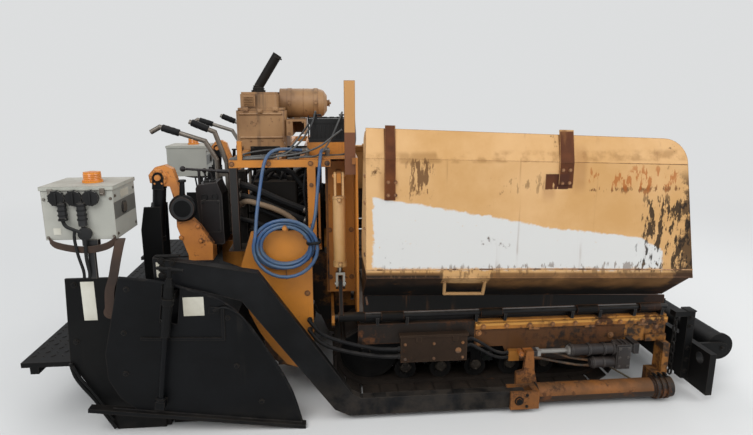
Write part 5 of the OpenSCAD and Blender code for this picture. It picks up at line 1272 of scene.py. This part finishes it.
def add_pieces(context, *rows):
    """Makes pieces from rows of name, drawing, body, material and slot, of which the slot is not used. A name with {}
    stands for one on each side, and its body may hold the mark too."""
    sizes = context.scene.paver_sizes
    for name, draw, body, material, slot in rows:
        for side in (RIGHT, LEFT) if "{}" in name else (LEFT,):
            piece(name.format(SIDE[side]), lambda bm: draw(bm, sizes), body.format(SIDE[side]), material, side)
    return {"FINISHED"}


class PAVER_OT_finishes(bpy.types.Operator):
    """Build the materials and give every node of the frame its own"""

    bl_idname = "paver.finishes"
    bl_label = "Paint and Dirt"

    def execute(self, context):
        build_groups()
        build_materials(context.scene.paver_colors)
        dress_nodes()
        return {"FINISHED"}


class PAVER_OT_stage(bpy.types.Operator):
    """Set the floor, the soft light and the camera"""

    bl_idname = "paver.stage"
    bl_label = "Stage"

    def execute(self, context):
        build_stage(context.scene.paver_sizes)
        build_camera()
        return {"FINISHED"}


class PAVER_OT_blue_hose(bpy.types.Operator):
    """Wind the blue hose over its peg, with its two leads, fittings and tie"""

    bl_idname = "paver.blue_hose"
    bl_label = "Blue Hose"

    def execute(self, context):
        sizes = context.scene.paver_sizes
        down, coil, up = hose_coil_path()
        path = smooth_route(down + coil[:1], 4)[:-1] + [Vector(p) for p in coil] + smooth_route(coil[-1:] + up, 4)[1:]
        hose = round_curve("blue_hose", path, sizes.hose_r, 5)
        context.scene.collection.objects.link(hose)
        hose.data.materials.append(MATERIALS["blue"])
        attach(hose, "chassis")
        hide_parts("blue_hose_coil", "blue_hose_lead")
        ends = piece("blue_hose_fittings", lambda bm: hose_fittings(bm, sizes), "chassis", "steel")
        piece("blue_hose_tie", hose_tie, "chassis", "rubber")
        return {"FINISHED"}


class PAVER_OT_wings(bpy.types.Operator):
    """Add the wings' strap bolts, weld beads, rear rims and ribs, and the port blocks and bands of the wing cylinders
    """

    bl_idname = "paver.wings"
    bl_label = "Wing Trim"

    def execute(self, context):
        sizes = context.scene.paver_sizes
        for name, draw, body, material in (("wing_trim_", wing_trim, "wing_", "trim_{}"),
                ("wing_cylinder_trim_", cylinder_trim, "wing_barrel_", "tan")):
            for side, fold in ((RIGHT, 0.0), (LEFT, WING_FOLD)):
                label = SIDE[side]
                piece(name + label, lambda bm: draw(bm, sizes, fold), body + label, material.format(label),
                    side)
        return {"FINISHED"}


class PAVER_OT_running_gear(bpy.types.Operator):
    """Add hub caps and bolts to the track rollers, and the skirt's bolts, hoses and brace"""

    bl_idname = "paver.running_gear"
    bl_label = "Running Gear and Skirt Trim"

    def execute(self, context):
        return add_pieces(
            context,
            ("track_trim_{}", track_trim, "chassis", "engine", "engine_black"),
            ("track_mud_{}", track_mud, "chassis", "shoe", "engine_black"),
            ("skirt_trim_{}", skirt_trim, "chassis", "orange_dirty", "orange_paint"),
            ("skirt_brace_{}", brace, "chassis", "olive", "rusty_steel"),
            ("push_beam_trim_{}", push_trim, "chassis", "black", "black_iron"),
            ("hopper_trim", hopper_trim, "chassis", "orange_dirty", "orange_paint"))


class PAVER_OT_tow_gear(bpy.types.Operator):
    """Add the details of the tow links, their actuators and the tow arms"""

    bl_idname = "paver.tow_gear"
    bl_label = "Tow Gear Trim"

    def execute(self, context):
        return add_pieces(
            context,
            ("actuator_trim_{}", actuator_trim, "chassis", "grey_dark", "grey_box"),
            ("tow_link_trim_{}", link_trim, "chassis", "black", "black_iron"),
            ("tow_arm_trim_{}", tow_arm_trim, "screed", "black", "black_iron"),
            ("tow_arm_label_{}", label(-1206, -1174, 806, 880, ARM_FACE), "screed", "label", "grey_box"))


class PAVER_OT_bay(bpy.types.Operator):
    """Fill the engine bay with its hoses, wires, clamps and plate bolts"""

    bl_idname = "paver.bay"
    bl_label = "Engine Bay"

    def execute(self, context):
        return add_pieces(
            context,
            ("bay_looms_{}", bay_looms, "chassis", "rubber", "hose_black"),
            ("sleeved_hose_{}", sleeved_hose, "chassis", "hose_tan", "hose_black"),
            ("hose_clamps_{}", sleeve_ends, "chassis", "steel", "bare_steel"),
            ("bay_wires", bay_wires, "chassis", "wire", "hose_black"),
            ("bay_bolts_{}", rail_trim, "chassis", "orange_dirty", "orange_paint"),
            ("engine_trim", engine_trim, "chassis", "engine", "engine_black"))


class PAVER_OT_hood(bpy.types.Operator):
    """Add louvres, latches and clamps to the hood, air cleaner, stack and battery"""

    bl_idname = "paver.hood"
    bl_label = "Hood and Air Cleaner Trim"

    def execute(self, context):
        return add_pieces(
            context,
            ("hood_trim", hood_trim, "chassis", "hood", "tan_paint"),
            ("hood_skirt", hood_skirt, "chassis", "engine", "engine_black"),
            ("air_cleaner_trim", canister_trim, "chassis", "hood", "tan_paint"),
            ("exhaust_trim", stack_trim, "chassis", "engine", "engine_black"),
            ("battery_trim", battery_trim, "chassis", "pad", "engine_black"))


class PAVER_OT_operator_area(bpy.types.Operator):
    """Add boots, dials, grips and post bolts around the operator's place"""

    bl_idname = "paver.operator_area"
    bl_label = "Operator Area Trim"

    def execute(self, context):
        return add_pieces(
            context,
            ("console_trim", console_trim, "chassis", "pad", "grey_box"),
            ("handrail_grips_{}", rail_grips, "chassis", "rubber", "hose_black"),
            ("lift_post_trim_{}", lift_post_trim, "chassis", "orange_post", "orange_paint"),
            ("lift_post_housing_{}", post_housing, "chassis", "black_clean", "black_iron"))


class PAVER_OT_screed(bpy.types.Operator):
    """Add tread, bolts and edge bands to the screed, its extensions and the end gates"""

    bl_idname = "paver.screed"
    bl_label = "Screed and Gate Trim"

    def execute(self, context):
        return add_pieces(
            context,
            ("screed_trim_{}", screed_trim, "screed", "black", "black_iron"),
            ("walkway_tread_{}", tread(-1830, -1220, 4, 590), "screed", "black", "black_iron"),
            ("step_tread_{}", tread(-1894, -1405, 645, 1194), "extension_{}", "black", "black_iron"),
            ("end_plate_trim_{}", extension_trim, "extension_{}", "black", "black_iron"),
            ("end_plate_label_{}", label(-1571, -1509, 589, 784, PLATE_FACE), "extension_{}", "label", "grey_box"),
            ("end_gate_trim_{}", gate_trim, "end_gate_{}", "gate", "black_iron"),
            ("end_gate_label_{}", label(-1089, -992, 618, 712, GATE_FACE), "end_gate_{}", "label", "grey_box"))


class PAVER_OT_control_boxes(bpy.types.Operator):
    """Add knobs' grips, leads, clasps, labels, the beacon's lens and the slack straps"""

    bl_idname = "paver.control_boxes"
    bl_label = "Control Boxes"

    def execute(self, context):
        return add_pieces(
            context,
            ("control_box_trim_{}", box_trim, "extension_{}", "steel", "bare_steel"),
            ("control_box_leads_{}", box_controls, "extension_{}", "pad", "engine_black"),
            ("beacon_lens_{}", beacon_lens, "extension_{}", "beacon", "orange_paint"),
            ("slack_straps_{}", slack_straps, "extension_{}", "strap", "rusty_steel"),
            ("control_box_label_{}", box_labels, "extension_{}", "label", "grey_box"))


class PAVER_PT_panel(bpy.types.Panel):
    """Lists the paver's sizes, colours and pieces"""

    bl_idname = "PAVER_PT_panel"
    bl_label = "Asphalt Paver"
    bl_space_type = "VIEW_3D"
    bl_region_type = "UI"
    bl_category = "Paver"

    def draw(self, context):
        layout = self.layout
        for group in (context.scene.paver_sizes, context.scene.paver_colors):
            box = layout.box()
            for key in group.__annotations__:
                box.prop(group, key)
        column = layout.column()
        for operator in OPERATORS:
            column.operator(operator.bl_idname)


OPERATORS = (
    PAVER_OT_finishes, PAVER_OT_stage, PAVER_OT_blue_hose, PAVER_OT_wings, PAVER_OT_running_gear, PAVER_OT_tow_gear,
    PAVER_OT_bay, PAVER_OT_hood, PAVER_OT_operator_area, PAVER_OT_screed, PAVER_OT_control_boxes,
)
CLASSES = (PaverSizes, PaverColors, *OPERATORS, PAVER_PT_panel)


def register():
    for cls in CLASSES:
        bpy.utils.register_class(cls)
    bpy.types.Scene.paver_sizes = bpy.props.PointerProperty(type=PaverSizes)
    bpy.types.Scene.paver_colors = bpy.props.PointerProperty(type=PaverColors)


def unregister():
    del bpy.types.Scene.paver_colors
    del bpy.types.Scene.paver_sizes
    for cls in reversed(CLASSES):
        bpy.utils.unregister_class(cls)


def main():
    register()
    for operator in OPERATORS:
        group, name = operator.bl_idname.split(".")
        getattr(getattr(bpy.ops, group), name)()


if __name__ == "__main__":
    main()
